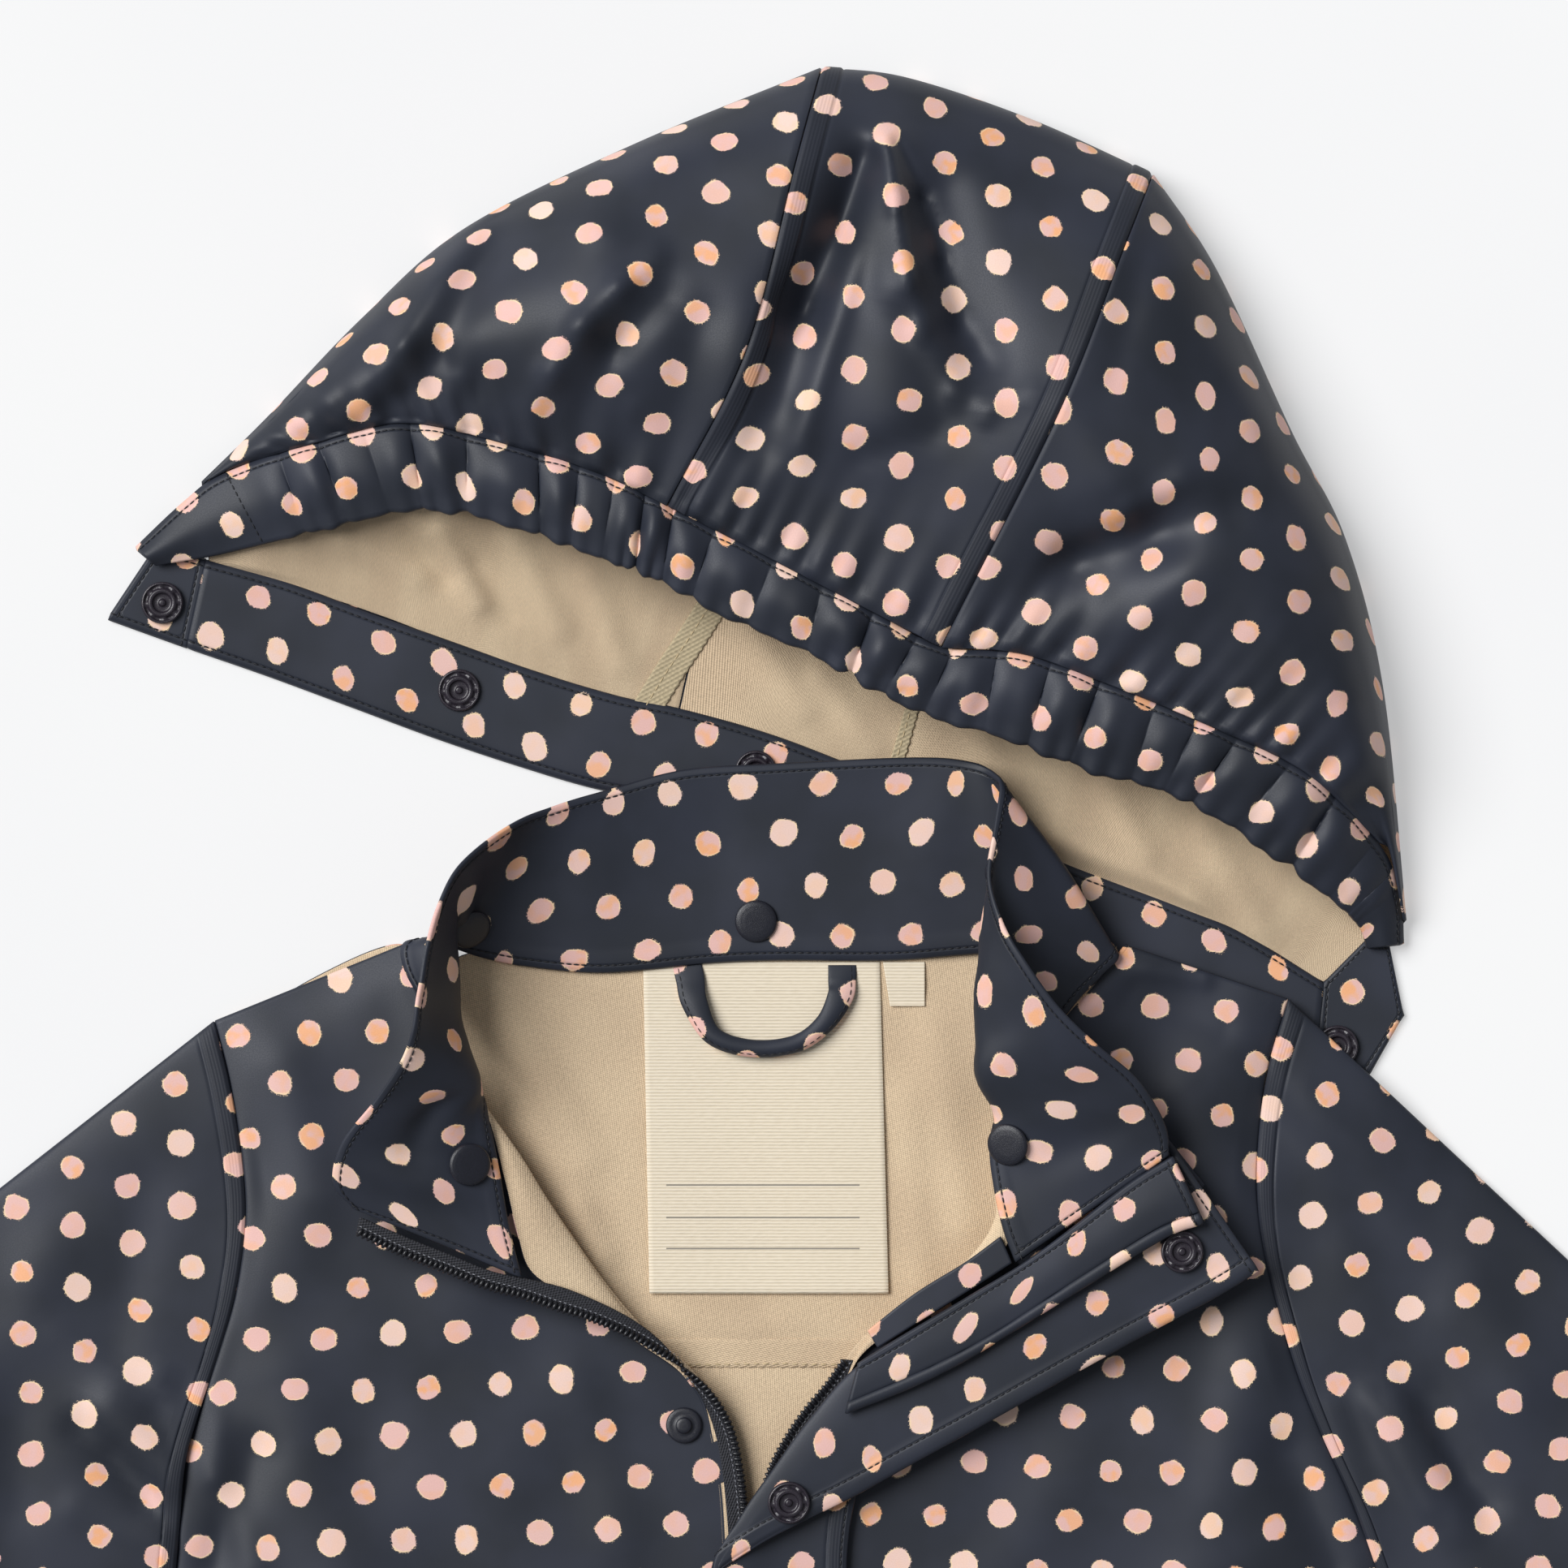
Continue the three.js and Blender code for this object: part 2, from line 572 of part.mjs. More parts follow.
const RIGHT_TAPE = table(TAPE_COLUMNS, [
  [23.8, -184.6, 8.6, 19, -184, 9],
  [18, -192.6, 7.8, 13.4, -192, 8.2],
  [11.6, -201, 7, 6.4, -200.4, 7.4],
  [6, -209.6, 6.5, 0.6, -209, 6.8],
  [0.6, -219, 6.1, -4.6, -219, 6.4],
  [-3, -232, 5.9, -8.4, -232, 6.1],
  [-5, -246, 5.8, -10.4, -246, 5.9],
  [-5.4, -264, 5.7, -10.6, -264, 5.8],
  [-5.4, -400, 5.6, -10.6, -400, 5.7],
  [-5.4, -548, 5.6, -10.6, -548, 5.7],
]);

function zipTape(name, rows) {
  const profiles = rows.map((row) => [
    point(row.sewnX, row.sewnY, row.sewnZ),
    point(row.teethX, row.teethY, row.teethZ),
  ]);
  addWall(name, profiles, [1], Array(rows.length - 1).fill(2), TAPE_CLOTH, FINISH.tape);
}

// Slider and its pull tab in one piece, just above the closed zip under the flap
const SLIDER = {
  wide: 4.2, narrow: 2.6, long: 5, depth: 2.2, waist: 0.2, crown: 0.8, tabWide: 1.7, tabLong: 17,
};
const SLIDER_PLACE = point(-10.8, -252, 6.6);

function zipSlider() {
  const outline = new THREE.Shape();
  const { wide, narrow, long, tabWide, tabLong, depth, waist, crown } = SLIDER;
  outline.moveTo(-narrow, -long);
  outline.lineTo(-tabWide, -long);
  outline.lineTo(-tabWide, -long - tabLong);
  outline.lineTo(tabWide, -long - tabLong);
  outline.lineTo(tabWide, -long);
  outline.lineTo(narrow, -long);
  outline.lineTo(wide, long * waist);
  outline.lineTo(wide * crown, long);
  outline.lineTo(-wide * crown, long);
  outline.lineTo(-wide, long * waist);
  outline.closePath();
  const body = new THREE.ExtrudeGeometry(outline, { depth, bevelEnabled: false });
  add("zip_slider", body, FINISH.snap).position.copy(SLIDER_PLACE);
}

// Hood panels: one row for each place round the hood. The upper layer runs from the casing
// line over the dome to the outline, folds there and lies back flat to the neckband.
const HOOD_COLUMNS = [
  "frontX", "frontY", "frontZ", "domeX", "domeY", "domeZ", "outX", "outY", "napeX", "napeY",
];
const HOOD_LEFT = table(HOOD_COLUMNS, [
  [-178, 101, 8.6, -181.6, 98.6, 8, -186, 96, -184, 72.6],
  [-150, 108.6, 19, -157, 112.6, 20, -165, 116.6, -158, 65.4],
  [-120, 115, 24, -127, 131, 33, -135, 148, -126, 54.6],
  [-84, 107, 27, -92, 141, 43, -102, 177, -94, 42],
  [-58, 98.6, 28.6, -50, 146, 47, -48, 204, -62, 31.6],
  [-37.3, 88.6, 30, -12.4, 137, 49, 11.6, 228.6, -33.6, 25],
]);
const HOOD_CENTRE = table(HOOD_COLUMNS, [
  [-36.7, 88.4, 30, -11.7, 136.6, 49, 12.4, 228.8, -33, 24.9],
  [-12, 75.8, 31, 12, 128, 45, 39, 225.6, -10, 18.6],
  [19, 59.6, 32, 48, 122, 44, 78, 212.6, 12, 11.4],
  [49.6, 43.8, 33, 86.6, 117.6, 50, 117.4, 194.8, 33.4, 2],
]);
const HOOD_RIGHT = table(HOOD_COLUMNS, [
  [50.2, 43.5, 33, 87.2, 117.2, 50, 118, 194.4, 34, 1.7],
  [76, 41.4, 34, 112, 95, 50, 138, 164, 58, -10],
  [105, 31, 34, 136, 71, 49, 162, 112, 84, -22.6],
  [137, 17.8, 33, 159, 44, 43, 179, 78, 108, -31.6],
  [166, 3.6, 30, 178, 17, 33, 191, 30, 134, -41.6],
  [190, -18.4, 15.4, 194, -22, 11.4, 197.4, -34, 171, -61],
]);
const OUTLINE_Z = 4.4;

// The hood's knots between dome, outline and nape, as shares of the way and of the dome's height
const HOOD_SHAPE = {
  shoulder: 0.66, shoulderHeight: 0.72, edge: 0.94, edgeHeight: 0.34,
  turn: 6, rest: 26, restShare: 0.4, under: 0.5,
};
const HOOD_CELLS = [5, 5, 3, 2, 1, 1, 1, 1];
const HOOD_CELLS_PER_ROW = 3;
const HOOD_FOLDS = { end: 0.37, softness: 0.08 };

function hoodProfile(row) {
  const casing = point(row.frontX, row.frontY, row.frontZ);
  const dome = point(row.domeX, row.domeY, row.domeZ);
  const outline = point(row.outX, row.outY, OUTLINE_Z);
  const nape = point(row.napeX, row.napeY, FLOOR_LAYER);
  const heightAt = (share) => OUTLINE_Z + (row.domeZ - OUTLINE_Z) * share;
  const inward = nape.clone().sub(outline).setZ(0).normalize();
  const rest = Math.min(HOOD_SHAPE.rest, HOOD_SHAPE.restShare * nape.distanceTo(outline));
  return [
    casing,
    dome,
    blend(dome, outline, HOOD_SHAPE.shoulder).setZ(heightAt(HOOD_SHAPE.shoulderHeight)),
    blend(dome, outline, HOOD_SHAPE.edge).setZ(heightAt(HOOD_SHAPE.edgeHeight)),
    outline,
    outline.clone().addScaledVector(inward, HOOD_SHAPE.turn).setZ(FLOOR_LAYER),
    outline.clone().addScaledVector(inward, rest).setZ(FLOOR_LAYER),
    blend(outline, nape, HOOD_SHAPE.under).setZ(FLOOR_LAYER),
    nape,
  ];
}

function hoodPanel(name, rows) {
  const foldsAt = (u) => between(u, 0, HOOD_FOLDS.end, HOOD_FOLDS.softness);
  const folded = pressed(skin(rows.map(hoodProfile)), foldsAt);
  const along = Array(rows.length - 1).fill(HOOD_CELLS_PER_ROW);
  add(name, wall(folded, marks(HOOD_CELLS), marks(along), CLOTH), FINISH.coated);
}

// Gathered casing round the face: rows from the left tab to the right tab, between the casing
// line and the mouth edge; gathered is 0 on the plain ends and 1 along the elastic
const CASING_COLUMNS = ["lineX", "lineY", "lineZ", "mouthX", "mouthY", "mouthZ", "gathered"];
const CASING = table(CASING_COLUMNS, [
  [-206.4, 75, 4.4, -201, 70.4, 4.4, 0],
  [-191.4, 89, 6, -183, 73.4, 5.6, 0],
  [-178.4, 98, 9, -167, 77, 9.6, 0],
  [-150, 107.4, 18.6, -142, 83, 17, 0.9],
  [-120, 113.6, 23.6, -114, 88, 21, 1],
  [-85, 106, 26.6, -86, 82.6, 24, 1],
  [-58, 97.4, 28.4, -60, 73, 25.6, 1],
  [-37.4, 87.2, 29.6, -42, 66.6, 26.6, 1],
  [-12, 74.6, 30.6, -18, 53.6, 27.4, 1],
  [18.6, 58.6, 31.4, 12, 40.4, 28, 1],
  [49, 42.6, 32.4, 41, 24.4, 28.6, 1],
  [75.4, 40.2, 33.4, 69, 15.4, 29, 1],
  [104.4, 29.8, 33.4, 97, 5, 28.6, 1],
  [136, 16.8, 32.4, 124, -3, 27, 1],
  [165.4, 2.4, 29.4, 150, -18, 23.4, 1],
  [188.6, -19.8, 15.4, 175, -36.4, 14.6, 0.7],
  [195.6, -36, 8.4, 184, -45, 7.6, 0],
  [197, -51, 3.9, 187, -52, 3.9, 0],
]);

const CASING_SWELL = 2.4;
const CELLS_PER_GATHER = 4;

const casingNet = skin(CASING.map((row) => {
  const line = point(row.lineX, row.lineY, row.lineZ);
  const mouth = point(row.mouthX, row.mouthY, row.mouthZ);
  return [line, blend(line, mouth, 0.5).add(point(0, 0, CASING_SWELL)), mouth];
}));
const gatherCurve = smoothCurve(CASING.map((row) => point(row.gathered, 0, 0)));

// Gathers swell the casing between its stitched line and its mouth edge, where some swell is left
const GATHER_SHAPE = { reach: 1.4, lead: 0.1, body: 0.7, edge: 0.3 };

function casingSurface(u, v) {
  const place = casingNet(u, v);
  const gathered = Math.max(0, gatherCurve.getPoint(v).x);
  const { reach, lead, body, edge } = GATHER_SHAPE;
  const swell = Math.sin(Math.PI * Math.min(1, u * reach + lead)) * body + edge * u;
  place.z += GATHER_DEPTH * gathered * swell * Math.sin(2 * Math.PI * GATHERS * v);
  return place;
}

function hoodCasing() {
  const cells = CELLS_PER_GATHER * GATHERS;
  add("hood_casing", wall(casingSurface, marks([1, 1]), marks([cells]), CASING_CLOTH), FINISH.coated);
}

// Neckband of the hood, flat on the ground, and the square tabs at its ends
const BAND = table(["topX", "topY", "lowX", "lowY"], [
  [-185, 71.4, -191, 44],
  [-159, 64, -165, 35],
  [-132, 54, -138, 25],
  [-106, 45, -111, 15],
  [-79, 35.4, -84, 6],
  [-53, 27.6, -60, -1],
  [-33, 23.6, -38, -5],
  [-2, 14.6, -9, -12.4],
  [33, 0.6, 23, -24],
  [58, -11.4, 48, -36],
  [89, -25.6, 79, -50],
  [127, -40, 118, -65],
  [147, -48.4, 140, -75],
  [172.6, -64, 170, -88],
]);
const TAB_LEFT = table(["topX", "topY", "lowX", "lowY"], [
  [-185.3, 71.5, -191.3, 44.1],
  [-201, 75.6, -216, 53],
]);
const TAB_RIGHT = table(["topX", "topY", "lowX", "lowY"], [
  [173, -63.8, 170.4, -88.2],
  [186, -50.6, 177, -90.4],
  [193.5, -51, 183, -92.2],
  [198, -74, 186.6, -93.5],
]);

function neckband() {
  const middle = DOUBLE_CLOTH / 2;
  const profiles = BAND.map((row) => [point(row.topX, row.topY, middle), point(row.lowX, row.lowY, middle)]);
  addWall("hood_neckband", profiles, [2], Array(BAND.length - 1).fill(1), DOUBLE_CLOTH, FINISH.coated);
  for (const [name, rows] of [["hood_tab_left", TAB_LEFT], ["hood_tab_right", TAB_RIGHT]]) {
    const sides = rows.map((row) => [point(row.topX, row.topY, middle), point(row.lowX, row.lowY, middle)]);
    addWall(name, sides, [1], Array(rows.length - 1).fill(1), DOUBLE_CLOTH, FINISH.coated);
  }
}

// Hanging loop: a rolled strip from the neck seam, hanging flat over the label
const LOOP = table(["x", "y"], [
  [-30, -62.6],
  [-28.6, -70],
  [-22.6, -80.6],
  [-10, -84.6],
  [4, -83],
  [13, -76.6],
  [18, -68],
  [18.6, -62.6],
]);
const LOOP_STEPS = 22;
const LOOP_Z = LABEL_Z + (LABEL_CLOTH + LOOP_DIAMETER) / 2 + SEAM_GAP;

function hangerLoop() {
  const path = smoothCurve(LOOP.map((row) => point(row.x, row.y, LOOP_Z)));
  const outline = new THREE.Shape();
  outline.absellipse(0, 0, LOOP_DIAMETER / 2, LOOP_DIAMETER / 2, 0, 2 * Math.PI);
  const settings = { steps: LOOP_STEPS, extrudePath: path, curveSegments: 2, bevelEnabled: false };
  add("hanger_loop", new THREE.ExtrudeGeometry(outline, settings), FINISH.coated);
}

// Labels sewn under the collar's back seam, flat on the yoke
const LABELS = table(["name", "leftX", "rightX", "topY", "lowLeftX", "lowRightX", "lowY"], [
  ["neck_label", -45, 30.6, -62, -43, 33.4, -163],
  ["size_tab", 31.4, 45, -61, 33.9, 45, -71],
]);

function labels() {
  for (const row of LABELS) {
    const profiles = [
      [point(row.leftX, row.topY, LABEL_Z), point(row.rightX, row.topY, LABEL_Z)],
      [point(row.lowLeftX, row.lowY, LABEL_Z), point(row.lowRightX, row.lowY, LABEL_Z)],
    ];
    addWall(row.name, profiles, [2], [2], LABEL_CLOTH, FINISH.ribbon);
  }
}

// Snap fasteners: turned parts set on a cloth surface, their axis along its normal
const CAP_PROFILE = table(["radius", "height"], [
  [0, 0], [0.5, 0], [0.5, 0.5], [0.44, 1.0], [0.25, 1.3], [0, 1.4],
]);
const SOCKET_PROFILE = table(["radius", "height"], [
  [0, 0], [0.5, 0], [0.5, 1.4], [0.42, 1.9], [0.3, 1.9], [0.27, 0.9], [0.1, 0.9], [0.08, 1.7], [0, 1.7],
]);
const STUD_PROFILE = table(["radius", "height"], [
  [0, 0], [0.5, 0], [0.5, 0.7], [0.28, 1.0], [0.22, 1.2], [0.24, 2.2], [0, 2.4],
]);
const SNAP_FACES = 12;

function snap(name, profile, place, axis, diameter = SNAP_DIAMETER) {
  const outline = profile.map((row) => new THREE.Vector2(row.radius * diameter, row.height));
  const geometry = new THREE.LatheGeometry(outline, SNAP_FACES);
  geometry.rotateX(Math.PI / 2);
  const mesh = add(name, geometry, FINISH.snap);
  mesh.position.copy(place);
  mesh.quaternion.setFromUnitVectors(point(0, 0, 1), axis);
}

// A snap part on a wall: side 1 or -1 picks the wall's face, gap lifts it off the cloth
function snapOnWall(name, profile, surface, u, v, side, thickness, gap) {
  const axis = surfaceNormal(surface, u, v, false).multiplyScalar(side);
  snap(name, profile, surface(u, v).addScaledVector(axis, thickness / 2 + gap), axis);
}

// Caps on the collar's inner face, u up the wall, v round the neck
const COLLAR_SNAPS = table(["u", "v", "gap"], [
  [0.19, 0.074, 1.5],
  [0.3, 0.344, 2.2],
  [0.2, 0.492, 0.5],
  [0.45, 0.588, 0.9],
  [0.2, 0.905, 0.6],
]);

function collarSnaps() {
  COLLAR_SNAPS.forEach((row, index) => {
    snapOnWall(`collar_cap_${index + 1}`, CAP_PROFILE, collarSurface, row.u, row.v, -1, COLLAR_CLOTH, row.gap);
  });
}

// Sockets on the hood's neckband
const BAND_SNAPS = table(["x", "y"], [
  [-199, 58],
  [-104, 30],
  [-9, 4],
  [84, -37],
  [177.1, -84],
]);

function bandSnaps() {
  const up = point(0, 0, 1);
  BAND_SNAPS.forEach((row, index) => {
    const place = point(row.x, row.y, DOUBLE_CLOTH + SEAM_GAP);
    snap(`hood_socket_${index + 1}`, SOCKET_PROFILE, place, up);
  });
}

// Front snaps: open sockets on the flap's inner side, caps on its closed part, a stud on the left
const FLAP_SOCKETS = table(["u", "v"], [
  [0.86, 0.075],
  [0.86, 0.54],
]);
const FLAP_CAPS = table(["u", "v"], [
  [0.82, 0.868],
  [0.82, 0.955],
]);
const FRONT_STUDS = table(["x", "y", "z"], [
  [-32, -205, 7.1],
]);

const FLAP_SNAP_GAP = { socket: 0.5, cap: 0.4 };
const STUD_SHARE = 0.85;

function frontSnaps() {
  FLAP_SOCKETS.forEach((row, index) => {
    const name = `flap_socket_${index + 1}`;
    snapOnWall(name, SOCKET_PROFILE, placketSurface, row.u, row.v, -1, CLOTH, FLAP_SNAP_GAP.socket);
  });
  const up = point(0, 0, 1);
  FLAP_CAPS.forEach((row, index) => {
    const name = `flap_cap_${index + 1}`;
    snapOnWall(name, CAP_PROFILE, placketSurface, row.u, row.v, 1, CLOTH, FLAP_SNAP_GAP.cap);
  });
  FRONT_STUDS.forEach((row, index) => {
    const place = point(row.x, row.y, row.z);
    snap(`front_stud_${index + 1}`, STUD_PROFILE, place, up, SNAP_DIAMETER * STUD_SHARE);
  });
}

backYoke();
backPanel();
front("front_left", LEFT_FRONT, [...LEFT_ARMHOLE, ...LEFT_SIDE]);
front("front_right", RIGHT_FRONT, [...RIGHT_ARMHOLE, ...RIGHT_SIDE]);
sleeve("sleeve_left", LEFT_ARMHOLE, LEFT_SLEEVE_ANGLE, 1, 0);
sleeve("sleeve_right", RIGHT_ARMHOLE, RIGHT_SLEEVE_ANGLE, -1, OVER_BAND.rise);
collar();
placket();
zipGuard();
facing();
zipTape("zip_tape_left", LEFT_TAPE);
zipTape("zip_tape_right", RIGHT_TAPE);
zipSlider();
hoodPanel("hood_left", HOOD_LEFT);
hoodPanel("hood_centre", HOOD_CENTRE);
hoodPanel("hood_right", HOOD_RIGHT);
hoodCasing();
neckband();
hangerLoop();
labels();
collarSnaps();
bandSnaps();
frontSnaps();

// Origin at the middle of the underside
const box = new THREE.Box3().setFromObject(raincoat);
raincoat.position.set(-(box.min.x + box.max.x) / 2, -(box.min.y + box.max.y) / 2, -box.min.z);

export default raincoat;
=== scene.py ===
"""Looks of a toddler raincoat with a snap-off hood, laid flat on a pale floor.

Tables and surfaces are in layout millimetres, measured from a point just above the collar's back,
as in the solids. placed() turns them into metres in the frame.
"""

import math

import bpy
import numpy as np
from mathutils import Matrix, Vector


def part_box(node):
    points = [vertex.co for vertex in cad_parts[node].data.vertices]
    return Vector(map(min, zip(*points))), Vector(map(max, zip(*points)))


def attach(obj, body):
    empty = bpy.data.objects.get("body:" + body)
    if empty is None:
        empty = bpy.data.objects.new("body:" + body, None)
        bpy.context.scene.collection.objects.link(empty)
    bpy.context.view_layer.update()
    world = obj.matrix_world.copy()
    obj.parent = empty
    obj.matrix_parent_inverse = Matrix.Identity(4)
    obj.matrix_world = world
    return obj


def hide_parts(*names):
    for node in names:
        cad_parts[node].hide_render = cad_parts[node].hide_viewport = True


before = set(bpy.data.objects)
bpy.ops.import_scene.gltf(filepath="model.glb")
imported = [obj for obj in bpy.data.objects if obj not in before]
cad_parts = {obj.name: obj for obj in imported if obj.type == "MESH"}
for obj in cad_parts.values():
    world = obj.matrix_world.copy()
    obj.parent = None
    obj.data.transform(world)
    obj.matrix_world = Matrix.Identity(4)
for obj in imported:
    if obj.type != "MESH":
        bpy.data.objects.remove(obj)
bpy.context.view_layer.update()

MM = 0.001
CLOTH = 0.9
DOUBLE_CLOTH = 1.8
COLLAR_CLOTH = 1.4
TAPE_CLOTH = 0.8
LABEL_CLOTH = 0.35
FLOOR_LAYER = 0.6
SEAM_GAP = 0.3
HEM_Y = -563
YOKE_SEAM_Y = -182
SLEEVE_LENGTH = 385
CUFF_WIDTH = 110
SLEEVE_LOFT = 5.1
EDGE_LOFT = 1.1
GATHERS = 46
SNAP_DIAMETER = 13.5
WELD_WIDTH = 5.8
WELD_HEIGHT = 0.45
WELD_START = 0.3
WELD_SLOPE = 0.7
WELD_GROOVE = 0.25
WELD_GROOVE_AWAY = 0.9
WELD_GROOVE_WIDTH = 0.5
PHOTO_SPAN = 502.3
SMALLEST_CUT = 0.01

# The solids' frame is found from the size tab's right upper corner
SIZE_TAB_RIGHT = 45
SIZE_TAB_TOP = -61
size_tab_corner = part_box("size_tab")[1]
SHIFT = np.array([size_tab_corner.x - SIZE_TAB_RIGHT * MM, size_tab_corner.y - SIZE_TAB_TOP * MM, 0])


def placed(points):
    """Layout millimetres as metres in the frame."""
    return np.asarray(points, float) * MM + SHIFT


def table(columns, rows):
    """Named columns of a table of numbers."""
    return dict(zip(columns.split(), np.array(rows, float).T))


def columns(rows, *names):
    """Several columns side by side, such as the x, y and z of a point for each row."""
    return np.stack([rows[name] for name in names], axis=-1)


def mix(start, end, share):
    """From start to end by a share."""
    return start + (end - start) * share


def smooth_step(value):
    """0 below 0, 1 above 1, and 3t^2 - 2t^3 between."""
    share = np.clip(value, 0, 1)
    return share * share * (3 - 2 * share)


def between(value, start, end, softness):
    """0 outside two places and 1 between them, with soft ends."""
    return smooth_step((value - start) / softness) * (1 - smooth_step((value - end) / softness))


def curve_weights(knots, places):
    """Shares of even knots at places 0 to 1 on a uniform Catmull-Rom curve, straight past its ends."""
    t = np.clip(np.ravel(places), 0, 1) * (knots - 1)
    cell = np.minimum(t.astype(int), knots - 2)
    w = t - cell
    shares = 0.5 * np.stack([
        -w + 2 * w**2 - w**3,
        2 - 5 * w**2 + 3 * w**3,
        w + 4 * w**2 - 3 * w**3,
        -w**2 + w**3,
    ])
    weights = np.zeros((len(t), knots + 2))
    for step in range(4):
        weights[np.arange(len(t)), cell + step] += shares[step]
    weights[:, 1] += 2 * weights[:, 0]
    weights[:, 2] -= weights[:, 0]
    weights[:, -2] += 2 * weights[:, -1]
    weights[:, -3] -= weights[:, -1]
    return weights[:, 1:-1]


def curve(points, places):
    """Points of a smooth curve through a list of points."""
    return curve_weights(len(points), places) @ np.asarray(points, float)


def skin(net):
    """Surface through a net of knots (row, guide, xyz): u runs across the guides, v from row to row.

    Each place is the knots' sum, each knot weighed by its share along the row and down the column.
    """
    net = np.asarray(net, float)

    def surface(u, v):
        u, v = np.broadcast_arrays(u, v)
        along = np.einsum("nj,jik->nik", curve_weights(net.shape[0], v), net)
        return np.einsum("ni,nik->nk", curve_weights(net.shape[1], u), along).reshape(u.shape + (3,))

    return surface


def at_height(points, height):
    """Copy of a row of points at a height."""
    result = points.copy()
    result[:, 2] = height
    return result


def flat_net(plan, height):
    """Plan points, in any arrangement, with one height for all."""
    return np.concatenate([plan, np.full(plan.shape[:-1] + (1,), height)], axis=-1)


def grid_of(surface, across, along):
    """Grid (row, column, xyz) of a surface, with v down the rows and u along the columns."""
    return surface(np.asarray(across)[None, :], np.asarray(along)[:, None])


def even(count):
    """Evenly spaced places from 0 to 1; their count sets how fine a grid is."""
    return np.linspace(0, 1, count)


def dense_start(count, dense_share, dense_count):
    """Places from 0 to 1 with dense_count of them in the first share."""
    start = np.linspace(0, dense_share, dense_count, endpoint=False)
    return np.concatenate([start, np.linspace(dense_share, 1, count - dense_count)])


def dense_ends(count, dense_share, dense_count):
    """Places from 0 to 1 with dense_count of them in the first share and as many in the last."""
    start = np.linspace(0, dense_share, dense_count, endpoint=False)
    middle = np.linspace(dense_share, 1 - dense_share, count - 2 * dense_count)
    return np.concatenate([start, middle, 1 - start[::-1]])


def unit(vectors):
    """Vectors of length one."""
    return vectors / np.maximum(np.linalg.norm(vectors, axis=-1, keepdims=True), 1e-12)


def grid_normals(grid, closed=False):
    """Unit normal at each place of a grid: the slope along the columns crossed with that down the rows."""
    if closed:
        across = np.roll(grid, -1, axis=1) - np.roll(grid, 1, axis=1)
    else:
        across = np.gradient(grid, axis=1)
    return unit(np.cross(across, np.gradient(grid, axis=0)))


def run_along(grid, axis):
    """Length run from the first line of a grid, along its rows (axis 1) or down its columns (axis 0)."""
    steps = np.linalg.norm(np.diff(grid, axis=axis), axis=-1)
    start = np.zeros_like(np.take(steps, [0], axis=axis))
    return np.concatenate([start, np.cumsum(steps, axis=axis)], axis=axis)


# Folds and creases: from where to where, half-width and height
FOLD_COLUMNS = "from_x from_y to_x to_y width height"
LARGE_FOLDS = table(FOLD_COLUMNS, [
    [33, 200, 36, 158, 8, 5],
    [36, 158, 34, 116, 14, 3.5],
    [24, 197, 4, 150, 7.5, -6],
    [4, 150, -8, 108, 9, -4.5],
    [50, 186, 62, 138, 9, -3.5],
    [139, 86, 118, 80, 10, -4],
    [118, 80, 92, 70, 11, -7],
    [92, 70, 68, 48, 9, -6],
    [126, 64, 100, 40, 11, 3],
    [-92, 166, -108, 124, 15, -3.4],
    [-60, 172, -72, 116, 14, 3],
    [-26, 146, -38, 100, 9, -3.5],
    [-216, -200, -196, -222, 7, 2.4],
    [-224, -206, -204, -228, 6, -2.2],
    [-236, -150, -262, -205, 12, 2],
    [196, -200, 214, -236, 8, 2.4],
    [206, -196, 224, -230, 6, -2.2],
    [205, -130, 235, -190, 12, 2],
    [-160, -190, -130, -300, 14, 2],
    [-170, -215, -184, -250, 8, -2.2],
    [150, -190, 120, -300, 14, 2],
    [160, -215, 176, -250, 8, -2.2],
    [-100, -380, -120, -520, 16, 2],
    [100, -400, 80, -540, 16, 2],
])
